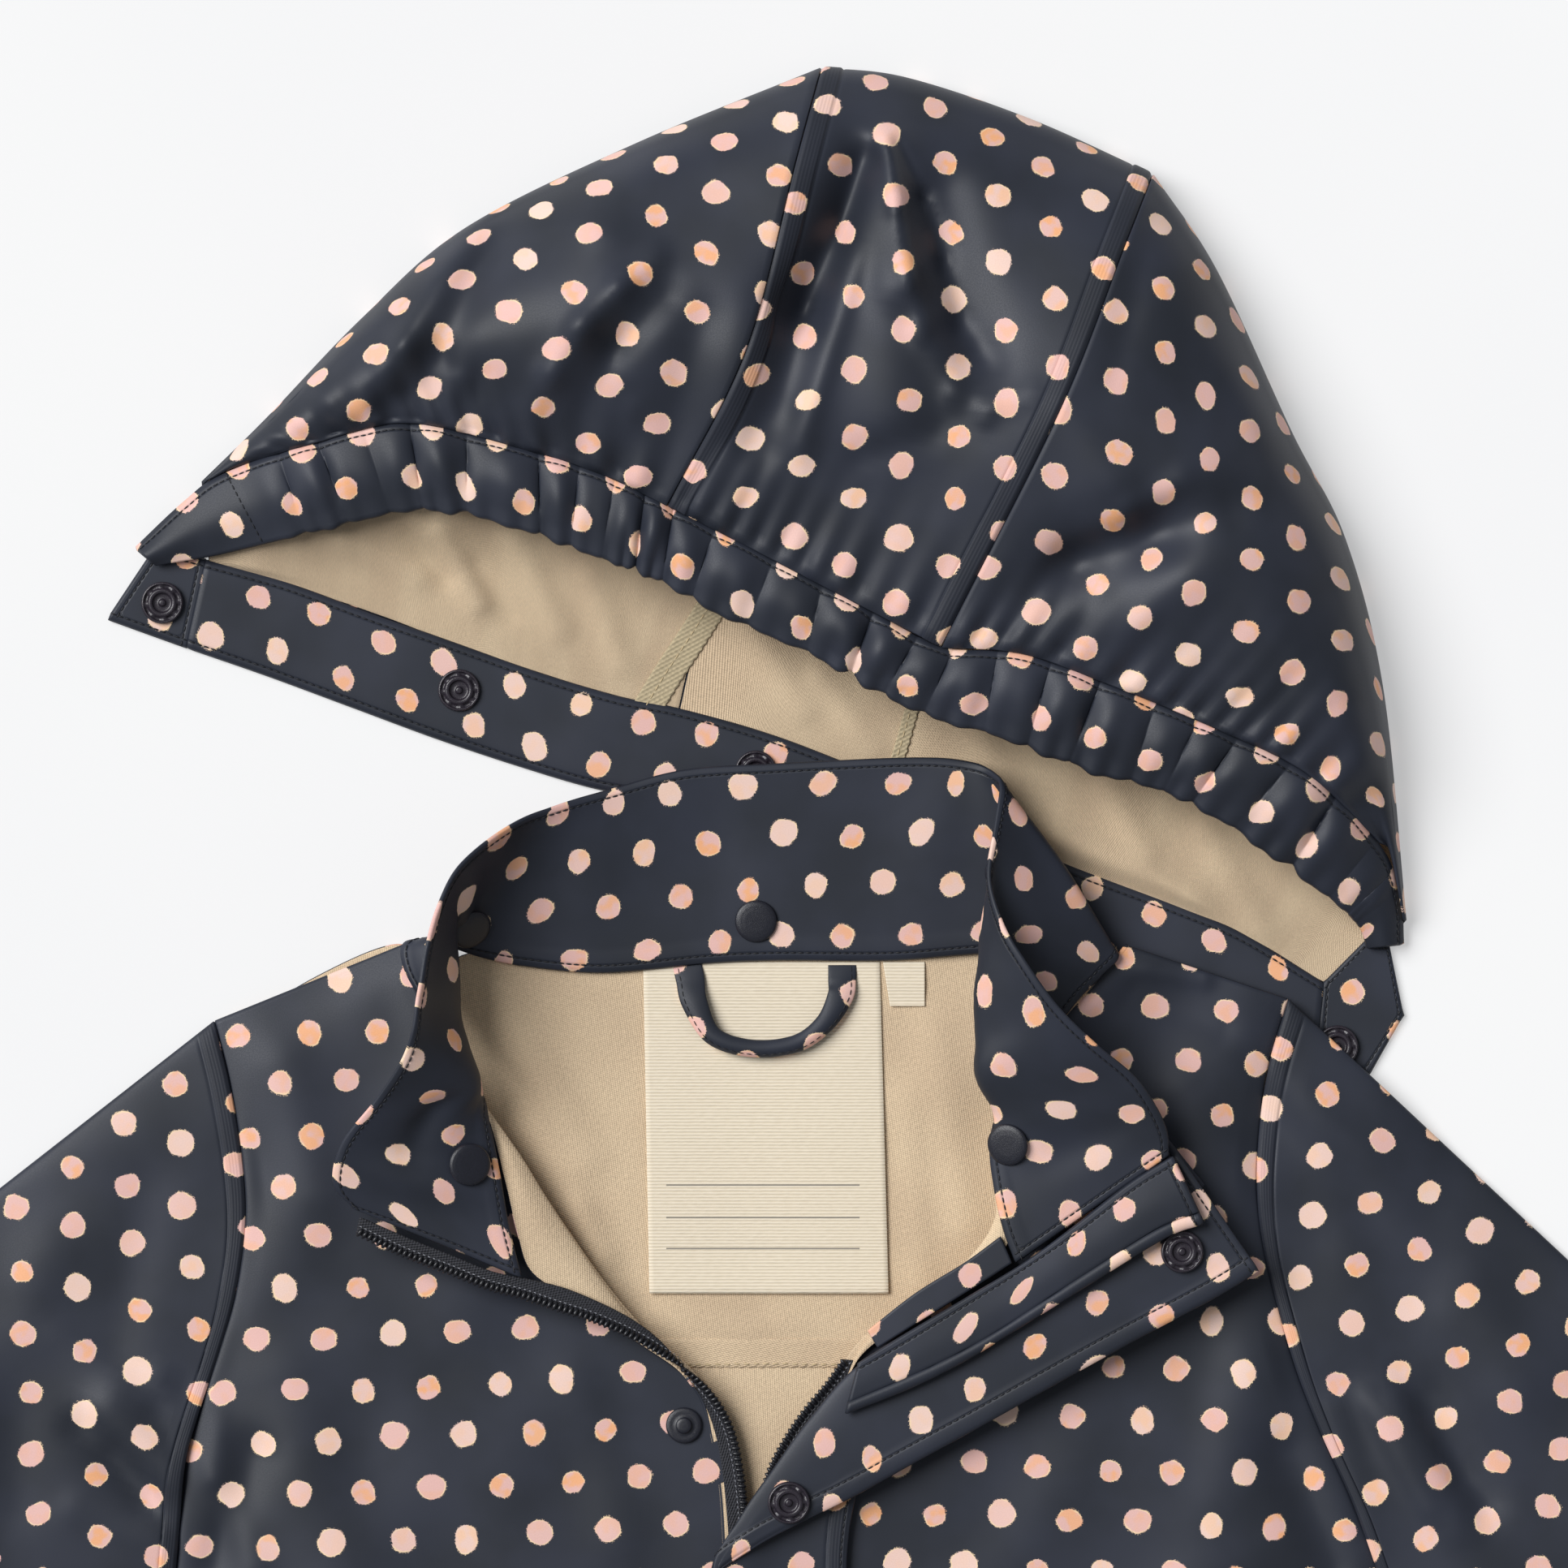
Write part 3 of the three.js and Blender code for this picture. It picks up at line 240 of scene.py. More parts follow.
HOOD_CREASES = table(FOLD_COLUMNS, [
    [32, 203, 36, 183, 2.6, 2.2],
    [36, 183, 40, 160, 3.0, 2.4],
    [40, 160, 44, 144, 3.4, 2.2],
    [44, 144, 54, 124, 4.0, 1.8],
    [54, 124, 64, 118, 3.6, 1.4],
    [64, 118, 78, 123, 3.8, 1.2],
    [36, 203, 44, 186, 2.4, -1.8],
    [44, 186, 51, 165, 3.0, -2.2],
    [51, 165, 56, 146, 4.0, -2.0],
    [56, 146, 66, 132, 5.0, -1.8],
    [27, 200, 18, 176, 4.0, -2.4],
    [18, 176, 8, 150, 5.0, -2.2],
    [8, 150, 0, 120, 6.0, -1.8],
    [23, 168, 5, 106, 4.0, 1.6],
    [48, 112, 26, 104, 5.0, -1.4],
    [88, 120, 104, 96, 7, 1.0],
    [116, 178, 104, 128, 5, -0.8],
    [126, 96, 108, 86, 4.0, 1.4],
    [108, 86, 84, 76, 4.0, 1.2],
    [98, 60, 74, 46, 5, -1.4],
    [112, 52, 96, 40, 4.5, 1.4],
    [100, 40, 88, 34, 5, 1.2],
    [140, 30, 128, 18, 5, 1.1],
    [-99, 178, -121, 139, 5, 2.4],
    [-121, 139, -139, 113, 5, 1.8],
    [-90, 172, -110, 136, 6, -2.4],
    [-110, 136, -127, 114, 6, -1.8],
    [-41, 166, -52, 157, 4, 1.8],
    [-52, 157, -64, 144, 4.5, 2.6],
    [-64, 144, -74, 129, 4.5, 2.2],
    [-74, 129, -86, 108, 4.5, 1.6],
    [-38, 154, -54, 138, 6, -2.8],
    [-54, 138, -66, 114, 6, -2.2],
    [-104, 128, -108, 114, 3, 1.2],
    [-96, 130, -99, 112, 3, -1.2],
    [-48, 118, -54, 98, 4, 1.4],
    [-40, 200, -58, 178, 8, 1.4],
    [-124, 136, -140, 112, 7, -1.0],
    [-20, 108, -30, 92, 5, -1.0],
    [8, 82, 2, 68, 5, -1.0],
    [34, 66, 24, 56, 4, 1.0],
    [64, 58, 58, 44, 5, -1.0],
    [160, 30, 150, 8, 5, -1.0],
    [176, 52, 184, 8, 7, 1.0],
    [150, 118, 120, 150, 9, 1.2],
    [-150, 130, -140, 112, 4, 0.8],
])
COAT_CREASES = table(FOLD_COLUMNS, [
    [-200, -190, -184, -222, 4, 1.2],
    [-214, -214, -194, -240, 4, -1.2],
    [-232, -176, -206, -196, 5, 1.0],
    [-226, -232, -200, -244, 6, 1.2],
    [-240, -120, -206, -110, 10, 1.2],
    [-250, -170, -246, -230, 9, -1.2],
    [-204, -130, -214, -182, 8, -1.0],
    [-186, -200, -170, -250, 6, 1.2],
    [-160, -90, -150, -130, 9, 1.0],
    [-140, -150, -110, -186, 12, -0.9],
    [-120, -210, -80, -240, 14, 0.8],
    [-66, -190, -52, -240, 9, 0.8],
    [186, -196, 206, -232, 4, 1.4],
    [198, -190, 216, -222, 4, -1.3],
    [176, -200, 188, -244, 5, 1.1],
    [214, -170, 250, -186, 9, 1.2],
    [190, -110, 212, -150, 8, -1.0],
    [168, -96, 180, -150, 7, 0.9],
    [108, -58, 134, -62, 3.5, 1.2],
    [112, -66, 140, -78, 6, -1.0],
    [128, -98, 150, -128, 8, 0.8],
    [140, -160, 130, -220, 10, -0.8],
    [90, -220, 60, -260, 12, 0.9],
    [150, -250, 110, -280, 12, 0.8],
    [-60, -330, -90, -430, 14, -1.0],
    [60, -330, 90, -430, 14, -1.0],
    [-150, -340, -170, -460, 14, 1.0],
    [150, -340, 170, -460, 14, 1.0],
    [-320, -230, -380, -300, 12, 1.2],
    [320, -210, 370, -290, 12, 1.2],
    [-300, -170, -350, -220, 10, -1.0],
    [300, -170, 350, -220, 10, -1.0],
])
LINING_CREASES = table(FOLD_COLUMNS, [
    [-92, -66, -64, -120, 7, 1.6],
    [-80, -110, -58, -150, 6, 1.5],
    [-72, -84, -52, -100, 5, -0.6],
    [-66, -136, -50, -176, 5, 1.2],
    [48, -80, 58, -140, 7, 1.3],
    [40, -100, 44, -160, 5, 0.8],
    [0, -172, 30, -178, 5, 0.7],
    [-40, -170, -10, -176, 5, 0.7],
])
NAPE_CREASES = table(FOLD_COLUMNS, [
    [-166, 84, -110, 92, 14, 7.0],
    [-110, 92, -44, 82, 14, 7.0],
    [-140, 78, -118, 66, 5, 1.8],
    [-120, 80, -108, 66, 4, -1.6],
    [-110, 80, -98, 58, 4.5, 2.8],
    [-98, 70, -88, 54, 4, -1.2],
    [-86, 78, -72, 50, 5, 2.0],
    [-62, 66, -52, 38, 5, 1.8],
    [-10, 50, 6, 24, 6, 2.0],
    [12, 34, 28, 10, 5, 1.8],
    [62, 20, 74, -12, 6, 1.8],
    [88, -18, 128, -38, 11, 5.0],
    [104, 0, 116, -22, 5, 1.4],
    [136, -16, 152, -46, 6, 1.8],
])


def fold_height(x, y, folds):
    """Sum over the folds of height * exp(-(distance from the fold's line / width) squared)."""
    total = np.zeros(np.shape(x))
    for from_x, from_y, to_x, to_y, width, height in zip(*folds.values()):
        line = np.array([to_x - from_x, to_y - from_y])
        away = np.stack([x - from_x, y - from_y], axis=-1)
        along = np.clip(away @ line / (line @ line), 0, 1)
        distance = np.linalg.norm(away - along[..., None] * line, axis=-1)
        total += height * np.exp(-((distance / width) ** 2))
    return total


RIPPLES = table("length angle phase height", [
    [92, 20, 0.4, 0.35],
    [64, 75, 1.9, 0.28],
    [47, 130, 3.1, 0.2],
    [33, 160, 0.8, 0.12],
    [24, 50, 2.2, 0.06],
])


def ripple(x, y):
    """Gentle unevenness of laid cloth: a sum of long low sine waves in several directions."""
    total = np.zeros(np.shape(x))
    for length, angle, phase, height in zip(*RIPPLES.values()):
        turn = math.radians(angle)
        total += height * np.sin(2 * math.pi * (x * math.cos(turn) + y * math.sin(turn)) / length + phase)
    return total


def pressed(grid, weight, *fold_tables, rippled=1.0):
    """The grid with folds and ripples added to its height, as strongly as the weight says."""
    x, y = grid[..., 0], grid[..., 1]
    height = rippled * ripple(x, y)
    for folds in fold_tables:
        height = height + fold_height(x, y, folds)
    result = grid.copy()
    result[..., 2] += weight * height
    return result


def weld(run):
    """Height of a taped seam at a distance run from the seam: a flat ridge, then a fine groove."""
    ridge = WELD_HEIGHT * between(run, WELD_START, WELD_WIDTH, WELD_SLOPE)
    groove = WELD_GROOVE * np.exp(-(((run - WELD_WIDTH - WELD_GROOVE_AWAY) / WELD_GROOVE_WIDTH) ** 2))
    return ridge - groove


def weld_mask(run):
    """1 on the tape of a seam at a distance run from the seam, and 0 past it."""
    return between(run, 0.2, WELD_WIDTH, 0.4)


# Patterns are laid out in the cut plane, in millimetres, then turned and shifted on the cloth
def on_cut(flat, angle=0, shift=(0, 0)):
    """Cut-plane places turned by an angle in degrees and shifted."""
    turn = math.radians(angle)
    x, y = flat[..., 0], flat[..., 1]
    return np.stack([
        x * math.cos(turn) + y * math.sin(turn) + shift[0],
        -x * math.sin(turn) + y * math.cos(turn) + shift[1],
    ], axis=-1)


def rolled_out(grid, toward):
    """Cut plane of a panel: each row runs straight, from its first point to its column toward."""
    run = run_along(grid, 1)
    direction = unit((grid[:, toward] - grid[:, 0])[:, :2])
    return grid[:, :1, :2] + run[..., None] * direction[:, None]


def strip_cut(grid, level):
    """Cut plane of a strip: length down its column level, and distance across from that column."""
    run = run_along(grid, 1)
    length = run_along(grid, 0)[:, level]
    return np.stack(np.broadcast_arrays(length[:, None], run - run[:, level:level + 1]), axis=-1)


# Meshes
def mesh_object(name, points, faces, cut=None, face_finish=None, materials=(), fields=None):
    """Object from points in millimetres, faces, cut-plane places, each face's material and point fields."""
    mesh = bpy.data.meshes.new(name)
    mesh.from_pydata(placed(points).tolist(), [], faces)
    for material in materials:
        mesh.materials.append(material)
    if face_finish is not None:
        mesh.polygons.foreach_set("material_index", np.asarray(face_finish, np.int32))
    if cut is not None:
        corner = np.empty(len(mesh.loops), np.int32)
        mesh.loops.foreach_get("vertex_index", corner)
        layer = mesh.uv_layers.new(name="cut")
        layer.data.foreach_set("uv", (cut[corner] * MM).astype(np.float32).ravel())
    for field, values in (fields or {}).items():
        attribute = mesh.attributes.new(field, "FLOAT", "POINT")
        attribute.data.foreach_set("value", np.asarray(values, np.float32))
    mesh.polygons.foreach_set("use_smooth", np.ones(len(mesh.polygons), bool))
    mesh.update()
    thing = bpy.data.objects.new(name, mesh)
    bpy.context.scene.collection.objects.link(thing)
    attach(thing, "root")
    return thing


def numbered(rows, width, closed=False):
    """Point numbers of a grid, with the first column again past the last one where it is closed."""
    number = np.arange(rows * width).reshape(rows, width)
    return np.concatenate([number, number[:, :1]], axis=1) if closed else number


def quads(low, high):
    """Quads between two lines of point numbers, or between the rows of two grids of them."""
    return np.stack([low[..., :-1], low[..., 1:], high[..., 1:], high[..., :-1]], axis=-1).reshape(-1, 4)


def grid_quads(number):
    """Quads of a grid of point numbers."""
    return quads(number[:-1], number[1:])


def split_short(faces, points):
    """Quads that start at their shorter diagonal, along which they are split."""
    corners = points[faces]
    spans = np.linalg.norm(corners[:, :2] - corners[:, 2:], axis=-1)
    return np.where(spans[:, :1] > spans[:, 1:], np.roll(faces, 1, axis=1), faces)


# A quad's corners seen from behind, split along the same diagonal
FROM_BEHIND = [0, 3, 2, 1]
RIM_ROUND = 0.4


def cloth(name, grid, thickness, finishes, cut, nodes, closed=False, fields=None):
    """Cloth wall on a grid: two sides half a thickness away along the normal, joined by a rounded rim.

    finishes are the materials of the side the normal points to and of the other side. The rim is coated
    cloth where one side is. Both sides of a quad are split along its shorter diagonal, so they never cross.
    """
    rows, width = grid.shape[:2]
    normals = grid_normals(grid, closed)
    sides = [grid + normals * thickness / 2, grid - normals * thickness / 2]
    number = numbered(rows, width, closed)
    if closed:
        loops = [number[0][::-1], number[-1]]
    else:
        loops = [np.concatenate([number[0][::-1], number[1:, 0], number[-1, 1:], number[-2::-1, -1]])]
    front = split_short(grid_quads(number), grid.reshape(-1, 3))
    back = front[:, FROM_BEHIND] + rows * width
    points = [side.reshape(-1, 3) for side in sides]
    cuts = [cut.reshape(-1, 2)] * 2
    faces = [front, back]
    finish = [np.zeros(len(front)), np.ones(len(back))]
    rim_finish = finishes.index(COATED) if COATED in finishes else 0
    total = 2 * rows * width
    source = [np.arange(rows * width)] * 2
    for loop in loops:
        row, column = loop // width, loop % width
        inner = grid[np.clip(row, 1, rows - 2), column if closed else np.clip(column, 1, width - 2)]
        outward = unit(grid[row, column] - inner)
        rim = grid[row, column] + outward * thickness * RIM_ROUND
        kept = loop[:-1]
        points.append(rim[:-1])
        cuts.append(cut.reshape(-1, 2)[kept])
        source.append(kept)
        middle = total + np.append(np.arange(len(kept)), 0)
        faces += [quads(loop, middle), quads(middle, loop + rows * width)]
        finish.append(np.full(2 * len(kept), rim_finish))
        total += len(kept)
    points, cuts, finish, source = (np.concatenate(parts) for parts in (points, cuts, finish, source))
    kept_fields = {key: np.ravel(values)[source] for key, values in (fields or {}).items()}
    faces = np.concatenate(faces).tolist()
    thing = mesh_object(name, points, faces, cuts, finish, finishes, kept_fields)
    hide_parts(*nodes)
    return thing


def declare(grid, closed=False):
    """Works out the cut of a cloth piece in metres, widest row, longest column and real area, and keeps
    none of it.
    """
    if closed:
        grid = np.concatenate([grid, grid[:, :1]], axis=1)
    width = run_along(grid, 1)[:, -1].max() * MM
    length = run_along(grid, 0)[-1].max() * MM
    across, down = np.diff(grid, axis=1)[:-1], np.diff(grid, axis=0)[:, :-1]
    area = np.linalg.norm(np.cross(across, down), axis=-1).sum() * MM * MM
    flat = (max(SMALLEST_CUT, round(float(width), 3)), round(float(length), 3))
    area = min(float(area), flat[0] * flat[1])


def inset_line(grid, normals, edge, inset, lift):
    """Line on a grid at a distance inset from an edge, lifted along the normal, and its normals."""
    axis = 1 if edge in ("first column", "last column") else 0
    lines, ups = np.moveaxis(grid, axis, 0), np.moveaxis(normals, axis, 0)
    if edge.startswith("last"):
        lines, ups = lines[::-1], ups[::-1]
    run = run_along(lines, 0)
    after = np.clip((run < inset).sum(axis=0), 1, len(run) - 1)
    pick = np.arange(run.shape[1])
    share = ((inset - run[after - 1, pick]) / (run[after, pick] - run[after - 1, pick]))[:, None]
    up = unit(mix(ups[after - 1, pick], ups[after, pick], share))
    return mix(lines[after - 1, pick], lines[after, pick], share) + up * lift, up


def bead(around, along):
    """Unit ball of rings between two poles: its points, its quads and the triangles at its poles."""
    turn = np.arange(around) * 2 * math.pi / around
    rise = np.linspace(0, math.pi, along + 1)[1:-1]
    reach = np.sin(rise)[:, None]
    rings = np.stack(np.broadcast_arrays(
        -np.cos(rise)[:, None], reach * np.cos(turn), reach * np.sin(turn)
    ), axis=-1).reshape(-1, 3)
    points = np.concatenate([rings, [[-1, 0, 0], [1, 0, 0]]])
    number = numbered(along - 1, around, closed=True)
    first, last, pole = number[0], number[-1], np.full(around, len(rings))
    start_cap = np.stack([first[1:], first[:-1], pole], axis=-1)
    end_cap = np.stack([last[:-1], last[1:], pole + 1], axis=-1)
    return points, grid_quads(number), np.concatenate([start_cap, end_cap])


def resampled(line, ups, pitch):
    """Places a pitch apart along a line, with the line's direction and normal there."""
    run = run_along(line[:, None], 0)[:, 0]
    places = np.arange(pitch / 2, run[-1], pitch)
    where = np.stack([np.interp(places, run, line[:, k]) for k in range(3)], axis=-1)
    slope = np.gradient(line, axis=0)
    ahead = unit(np.stack([np.interp(places, run, slope[:, k]) for k in range(3)], axis=-1))
    up = unit(np.stack([np.interp(places, run, ups[:, k]) for k in range(3)], axis=-1))
    return where, ahead, up


def beads(name, lines, pitch, size, material, turn=0.0, around=6, along=4):
    """Small ellipsoids of size (long, wide, high) set along lines, turned from the line by an angle."""
    shape, sides, caps = bead(around, along)
    points = []
    for line, ups in lines:
        where, ahead, up = resampled(line, ups, pitch)
        side = unit(np.cross(up, ahead))
        first = ahead * math.cos(turn) + side * math.sin(turn)
        second = np.cross(up, first)
        copy = (
            where[:, None]
            + shape[None, :, :1] * first[:, None] * size[0] / 2
            + shape[None, :, 1:2] * second[:, None] * size[1] / 2
            + shape[None, :, 2:] * up[:, None] * size[2] / 2
        )
        points.append(copy.reshape(-1, 3))
    points = np.concatenate(points)
    offset = np.arange(0, len(points), len(shape))[:, None, None]
    faces = (sides + offset).reshape(-1, 4).tolist() + (caps + offset).reshape(-1, 3).tolist()
    mesh_object(name, points, faces, materials=[material])


# Shader node helpers
def srgb(text):
    """Linear colour of a hexadecimal screen colour."""
    values = np.array([int(text[at:at + 2], 16) / 255 for at in (0, 2, 4)])
    linear = np.where(values <= 0.04045, values / 12.92, ((values + 0.055) / 1.055) ** 2.4)
    return [*linear.tolist(), 1]


class Nodes:
    """Adds nodes to a tree and links them, so that a material reads from top to bottom."""

    def __init__(self, tree):
        self.tree = tree

    def put(self, socket, value):
        """Links an input to another node's output, or gives it a value."""
        if isinstance(value, bpy.types.NodeSocket):
            self.tree.links.new(value, socket)
        else:
            socket.default_value = value

    def add(self, kind, inputs=None, **settings):
        """New node of a kind, with its settings and its inputs by name or number."""
        node = self.tree.nodes.new(kind)
        for key, value in settings.items():
            setattr(node, key, value)
        for key, value in (inputs or {}).items():
            self.put(node.inputs[key], value)
        return node

    def math(self, operation, *values):
        """Result of an operation on numbers."""
        return self.add("ShaderNodeMath", dict(enumerate(values)), operation=operation).outputs[0]

    def times(self, first, second):
        """Product of two numbers."""
        return self.math("MULTIPLY", first, second)

    def plus(self, first, second):
        """Sum of two numbers."""
        return self.math("ADD", first, second)

    def minus(self, first, second):
        """First number less the second."""
        return self.math("SUBTRACT", first, second)

    def vector(self, operation, *values):
        """Result of an operation on vectors, a number for a length."""
        node = self.add("ShaderNodeVectorMath", dict(enumerate(values)), operation=operation)
        return node.outputs["Value" if operation == "LENGTH" else "Vector"]

    def scaled(self, vector, scale):
        """Vector times a number."""
        return self.add("ShaderNodeVectorMath", {0: vector, "Scale": scale}, operation="SCALE").outputs[0]

    def colour_mix(self, share, first, second):
        """Colour from first to second by a share."""
        return self.add("ShaderNodeMix", {0: share, 6: first, 7: second}, data_type="RGBA").outputs[2]

    def ramp(self, value, low, high, low_out=0.0, high_out=1.0):
        """Smooth step of a value, from low_out at low to high_out at high."""
        names = ["Value", "From Min", "From Max", "To Min", "To Max"]
        inputs = dict(zip(names, [value, low, high, low_out, high_out]))
        return self.add("ShaderNodeMapRange", inputs, interpolation_type="SMOOTHSTEP").outputs[0]

    def noise(self, vector, scale, detail):
        """Outputs of a noise of some detail, with scale grains to the metre."""
        return self.add("ShaderNodeTexNoise", {"Vector": vector, "Scale": scale, "Detail": detail}).outputs

    def group(self, tree, inputs):
        """Outputs of a node group with its inputs."""
        return self.add("ShaderNodeGroup", inputs, node_tree=tree).outputs


def node_group(name, inputs, outputs):
    """Empty shader node group with named inputs and outputs: its Nodes, group input and group output."""
    tree = bpy.data.node_groups.new(name, "ShaderNodeTree")
    for label, kind, value in inputs:
        socket = tree.interface.new_socket(label, in_out="INPUT", socket_type=kind)
        if value is not None:
            socket.default_value = value
    for label, kind in outputs:
        tree.interface.new_socket(label, in_out="OUTPUT", socket_type=kind)
    nodes = Nodes(tree)
    return nodes, nodes.add("NodeGroupInput").outputs, nodes.add("NodeGroupOutput").inputs


DOT_STEP = 21.8 * MM
DOT_ROWS = 16.4 * MM
DOT_RADIUS = 3.75 * MM
DOT_GROWTH = 0.45 * MM
DOT_DRIFT = (2.4 * MM, 2.0 * MM, 0)
DOT_LOBES = (2.1 * MM, 2.1 * MM, 0)
DOT_RAGGED = (0.6 * MM, 0.6 * MM, 0)
LATTICE_SEED = 74.0
CELL_SEED = 0.31
MIDDLE = (0.5, 0.5, 0.5)
DOT_PINK = srgb("e2b6ae")
DOT_PEACH = srgb("efae7c")
DOT_CREAM = srgb("f4dccb")
DOT_RIM = srgb("f7dcae")


def dot_lattice_group():
    """One dot in each cell of a lattice: a place's reach from its middle, random numbers, a noise place."""
    inputs = [("Place", "NodeSocketVector", None), ("Shift", "NodeSocketFloat", 0.0)]
    outputs = [("Reach", "NodeSocketFloat"), ("Random", "NodeSocketVector"), ("Local", "NodeSocketVector")]
    n, given, result = node_group("dot lattice", inputs, outputs)
    size = (DOT_STEP, 2 * DOT_ROWS, 1)
    cells = n.vector("ADD", n.vector("DIVIDE", given["Place"], size), given["Shift"])
    cell = n.vector("ADD", n.vector("FLOOR", cells), n.scaled(given["Shift"], LATTICE_SEED))
    local = n.vector("MULTIPLY", n.vector("SUBTRACT", n.vector("FRACTION", cells), (0.5, 0.5, 0)), size)
    flat = n.vector("MULTIPLY", local, (1, 1, 0))
    random = n.add("ShaderNodeTexWhiteNoise", {"Vector": cell}, noise_dimensions="3D").outputs["Color"]
    centred = n.vector("SUBTRACT", random, MIDDLE)
    moved = n.vector("ADD", flat, n.vector("MULTIPLY", centred, DOT_DRIFT))
    seed = n.vector("ADD", moved, n.scaled(cell, CELL_SEED))
    lobes = n.vector("SUBTRACT", n.noise(seed, 190, 1.0)["Color"], MIDDLE)
    rough = n.vector("SUBTRACT", n.noise(seed, 1500, 2.0)["Color"], MIDDLE)
    bent = n.vector("ADD", moved, n.vector("MULTIPLY", lobes, DOT_LOBES))
    ragged = n.vector("ADD", bent, n.vector("MULTIPLY", rough, DOT_RAGGED))
    parts = n.add("ShaderNodeSeparateXYZ", {0: random}).outputs
    stretch = n.add("ShaderNodeCombineXYZ", {
        "X": n.ramp(parts["Y"], 0, 1, 0.92, 1.1), "Y": n.ramp(parts["Z"], 0, 1, 1.08, 0.92), "Z": 0.0,
    }).outputs[0]
    radius = n.math("MULTIPLY_ADD", parts["X"], DOT_GROWTH, DOT_RADIUS)
    distance = n.vector("LENGTH", n.vector("MULTIPLY", ragged, stretch))
    n.put(result["Reach"], n.math("DIVIDE", distance, radius))
    n.put(result["Random"], random)
    n.put(result["Local"], seed)
    return n.tree


def painted_dots_group():
    """Irregular brush-painted dots on a staggered lattice: a mask and a colour."""
    outputs = [("Mask", "NodeSocketFloat"), ("Colour", "NodeSocketColor")]
    n, given, result = node_group("painted dots", [("Place", "NodeSocketVector", None)], outputs)
    lattice = dot_lattice_group()
    first = n.group(lattice, {"Place": given["Place"], "Shift": 0.0})
    second = n.group(lattice, {"Place": given["Place"], "Shift": 0.5})
    nearer = n.math("LESS_THAN", second["Reach"], first["Reach"])
    reach = n.math("MINIMUM", first["Reach"], second["Reach"])
    random = n.colour_mix(nearer, first["Random"], second["Random"])
    random = n.add("ShaderNodeSeparateColor", {0: random}).outputs
    local = n.colour_mix(nearer, first["Local"], second["Local"])
    body = n.ramp(reach, 1.02, 0.97)
    specks = n.ramp(n.noise(local, 2600, 1.0)["Fac"], 0.56, 0.6)
    fringe = n.times(n.times(n.ramp(reach, 1.1, 1.05), specks), 0.8)
    mask = n.math("MAXIMUM", body, fringe)
    wash = n.ramp(n.noise(local, 210, 1.5)["Fac"], 0.42, 0.62)
    warm = n.times(wash, n.ramp(random["Green"], 0.1, 0.9, 0.2, 0.95))
    painted = n.colour_mix(warm, DOT_PINK, DOT_PEACH)
    pale = n.ramp(random["Blue"], 0.5, 1.0, 0.0, 0.55)
    faded = n.colour_mix(pale, painted, DOT_CREAM)
    patches = n.ramp(n.noise(local, 260, 1.0)["Fac"], 0.35, 0.6)
    rim = n.times(n.ramp(reach, 0.84, 0.97), patches)
    rimmed = n.colour_mix(n.times(rim, 0.75), faded, DOT_RIM)
    grain = n.ramp(n.noise(local, 3200, 2.0)["Fac"], 0.3, 0.7, 0.93, 1.03)
    n.put(result["Mask"], mask)
    n.put(result["Colour"], n.vector("MULTIPLY", rimmed, n.vector("MULTIPLY", (1, 1, 1), grain)))
    return n.tree


def twill_group():
    """Fine twill weave: thread height for bump and a slight shade, from a cut-plane place."""
    inputs = [("Place", "NodeSocketVector", None), ("Pitch", "NodeSocketFloat", 0.55 * MM)]
    outputs = [("Height", "NodeSocketFloat"), ("Shade", "NodeSocketFloat")]
    n, given, result = node_group("twill weave", inputs, outputs)
    turn = n.math("DIVIDE", 2 * math.pi, given["Pitch"])
    parts = n.add("ShaderNodeSeparateXYZ", {0: given["Place"]}).outputs
    x = n.times(parts["X"], turn)
    y = n.times(parts["Y"], turn)
    diagonal = n.math("SINE", n.plus(n.times(x, 0.5), y))
    threads = n.times(n.math("SINE", x), 0.6)
    weave = n.times(n.plus(diagonal, threads), 0.3)
    slub = n.noise(given["Place"], 900, 2.0)["Fac"]
    height = n.plus(weave, slub)
    n.put(result["Height"], height)
    n.put(result["Shade"], n.ramp(height, -0.1, 1.1, 0.84, 1.24))
    return n.tree


PAINTED_DOTS = painted_dots_group()
TWILL_WEAVE = twill_group()


def new_material(name, roughness):
    """Material with a Principled shader: its nodes, the shader and the material."""
    material = bpy.data.materials.new(name)
    material.use_nodes = True
    shader = material.node_tree.nodes["Principled BSDF"]
    shader.inputs["Roughness"].default_value = roughness
    return Nodes(material.node_tree), shader, material


def link(nodes, value, shader, name):
    """Gives an input of the shader a node's output or a value."""
    nodes.put(shader.inputs[name], value)


def bump(nodes, shader, height, distance, strength):
    """Fine relief of a height, distance metres deep."""
    inputs = {"Height": height, "Distance": distance, "Strength": strength}
    link(nodes, nodes.add("ShaderNodeBump", inputs).outputs[0], shader, "Normal")


STITCH_LINE = 10.0
# Painted shade along stitched rows: how dark it gets and how far from the row it reaches
STITCH_SHADE = 0.35
STITCH_SHADE_REACH = 0.5
STITCH_GROOVE = 2.6
STITCH_GROOVE_REACH = 0.75
WELD_RIB_PITCH = 1.1


def stitch_run(grid, rows):
    """STITCH_LINE plus the distance past the nearest stitched row: 0, on other cloth, is far from a row."""
    runs = {
        "first column": run_along(grid, 1),
        "last column": run_along(grid[:, ::-1], 1)[:, ::-1],
        "first row": run_along(grid, 0),
        "last row": run_along(grid[::-1], 0)[::-1],
    }
    return STITCH_LINE + np.min([runs[edge] - inset for edge, inset in rows], axis=0)


def cut_place(nodes):
    """Place on the cut plane, in metres."""
    return nodes.add("ShaderNodeUVMap", uv_map="cut").outputs[0]


def field(nodes, name):
    """Value of a point field, 0 on pieces without it."""
    return nodes.add("ShaderNodeAttribute", attribute_name=name).outputs["Fac"]


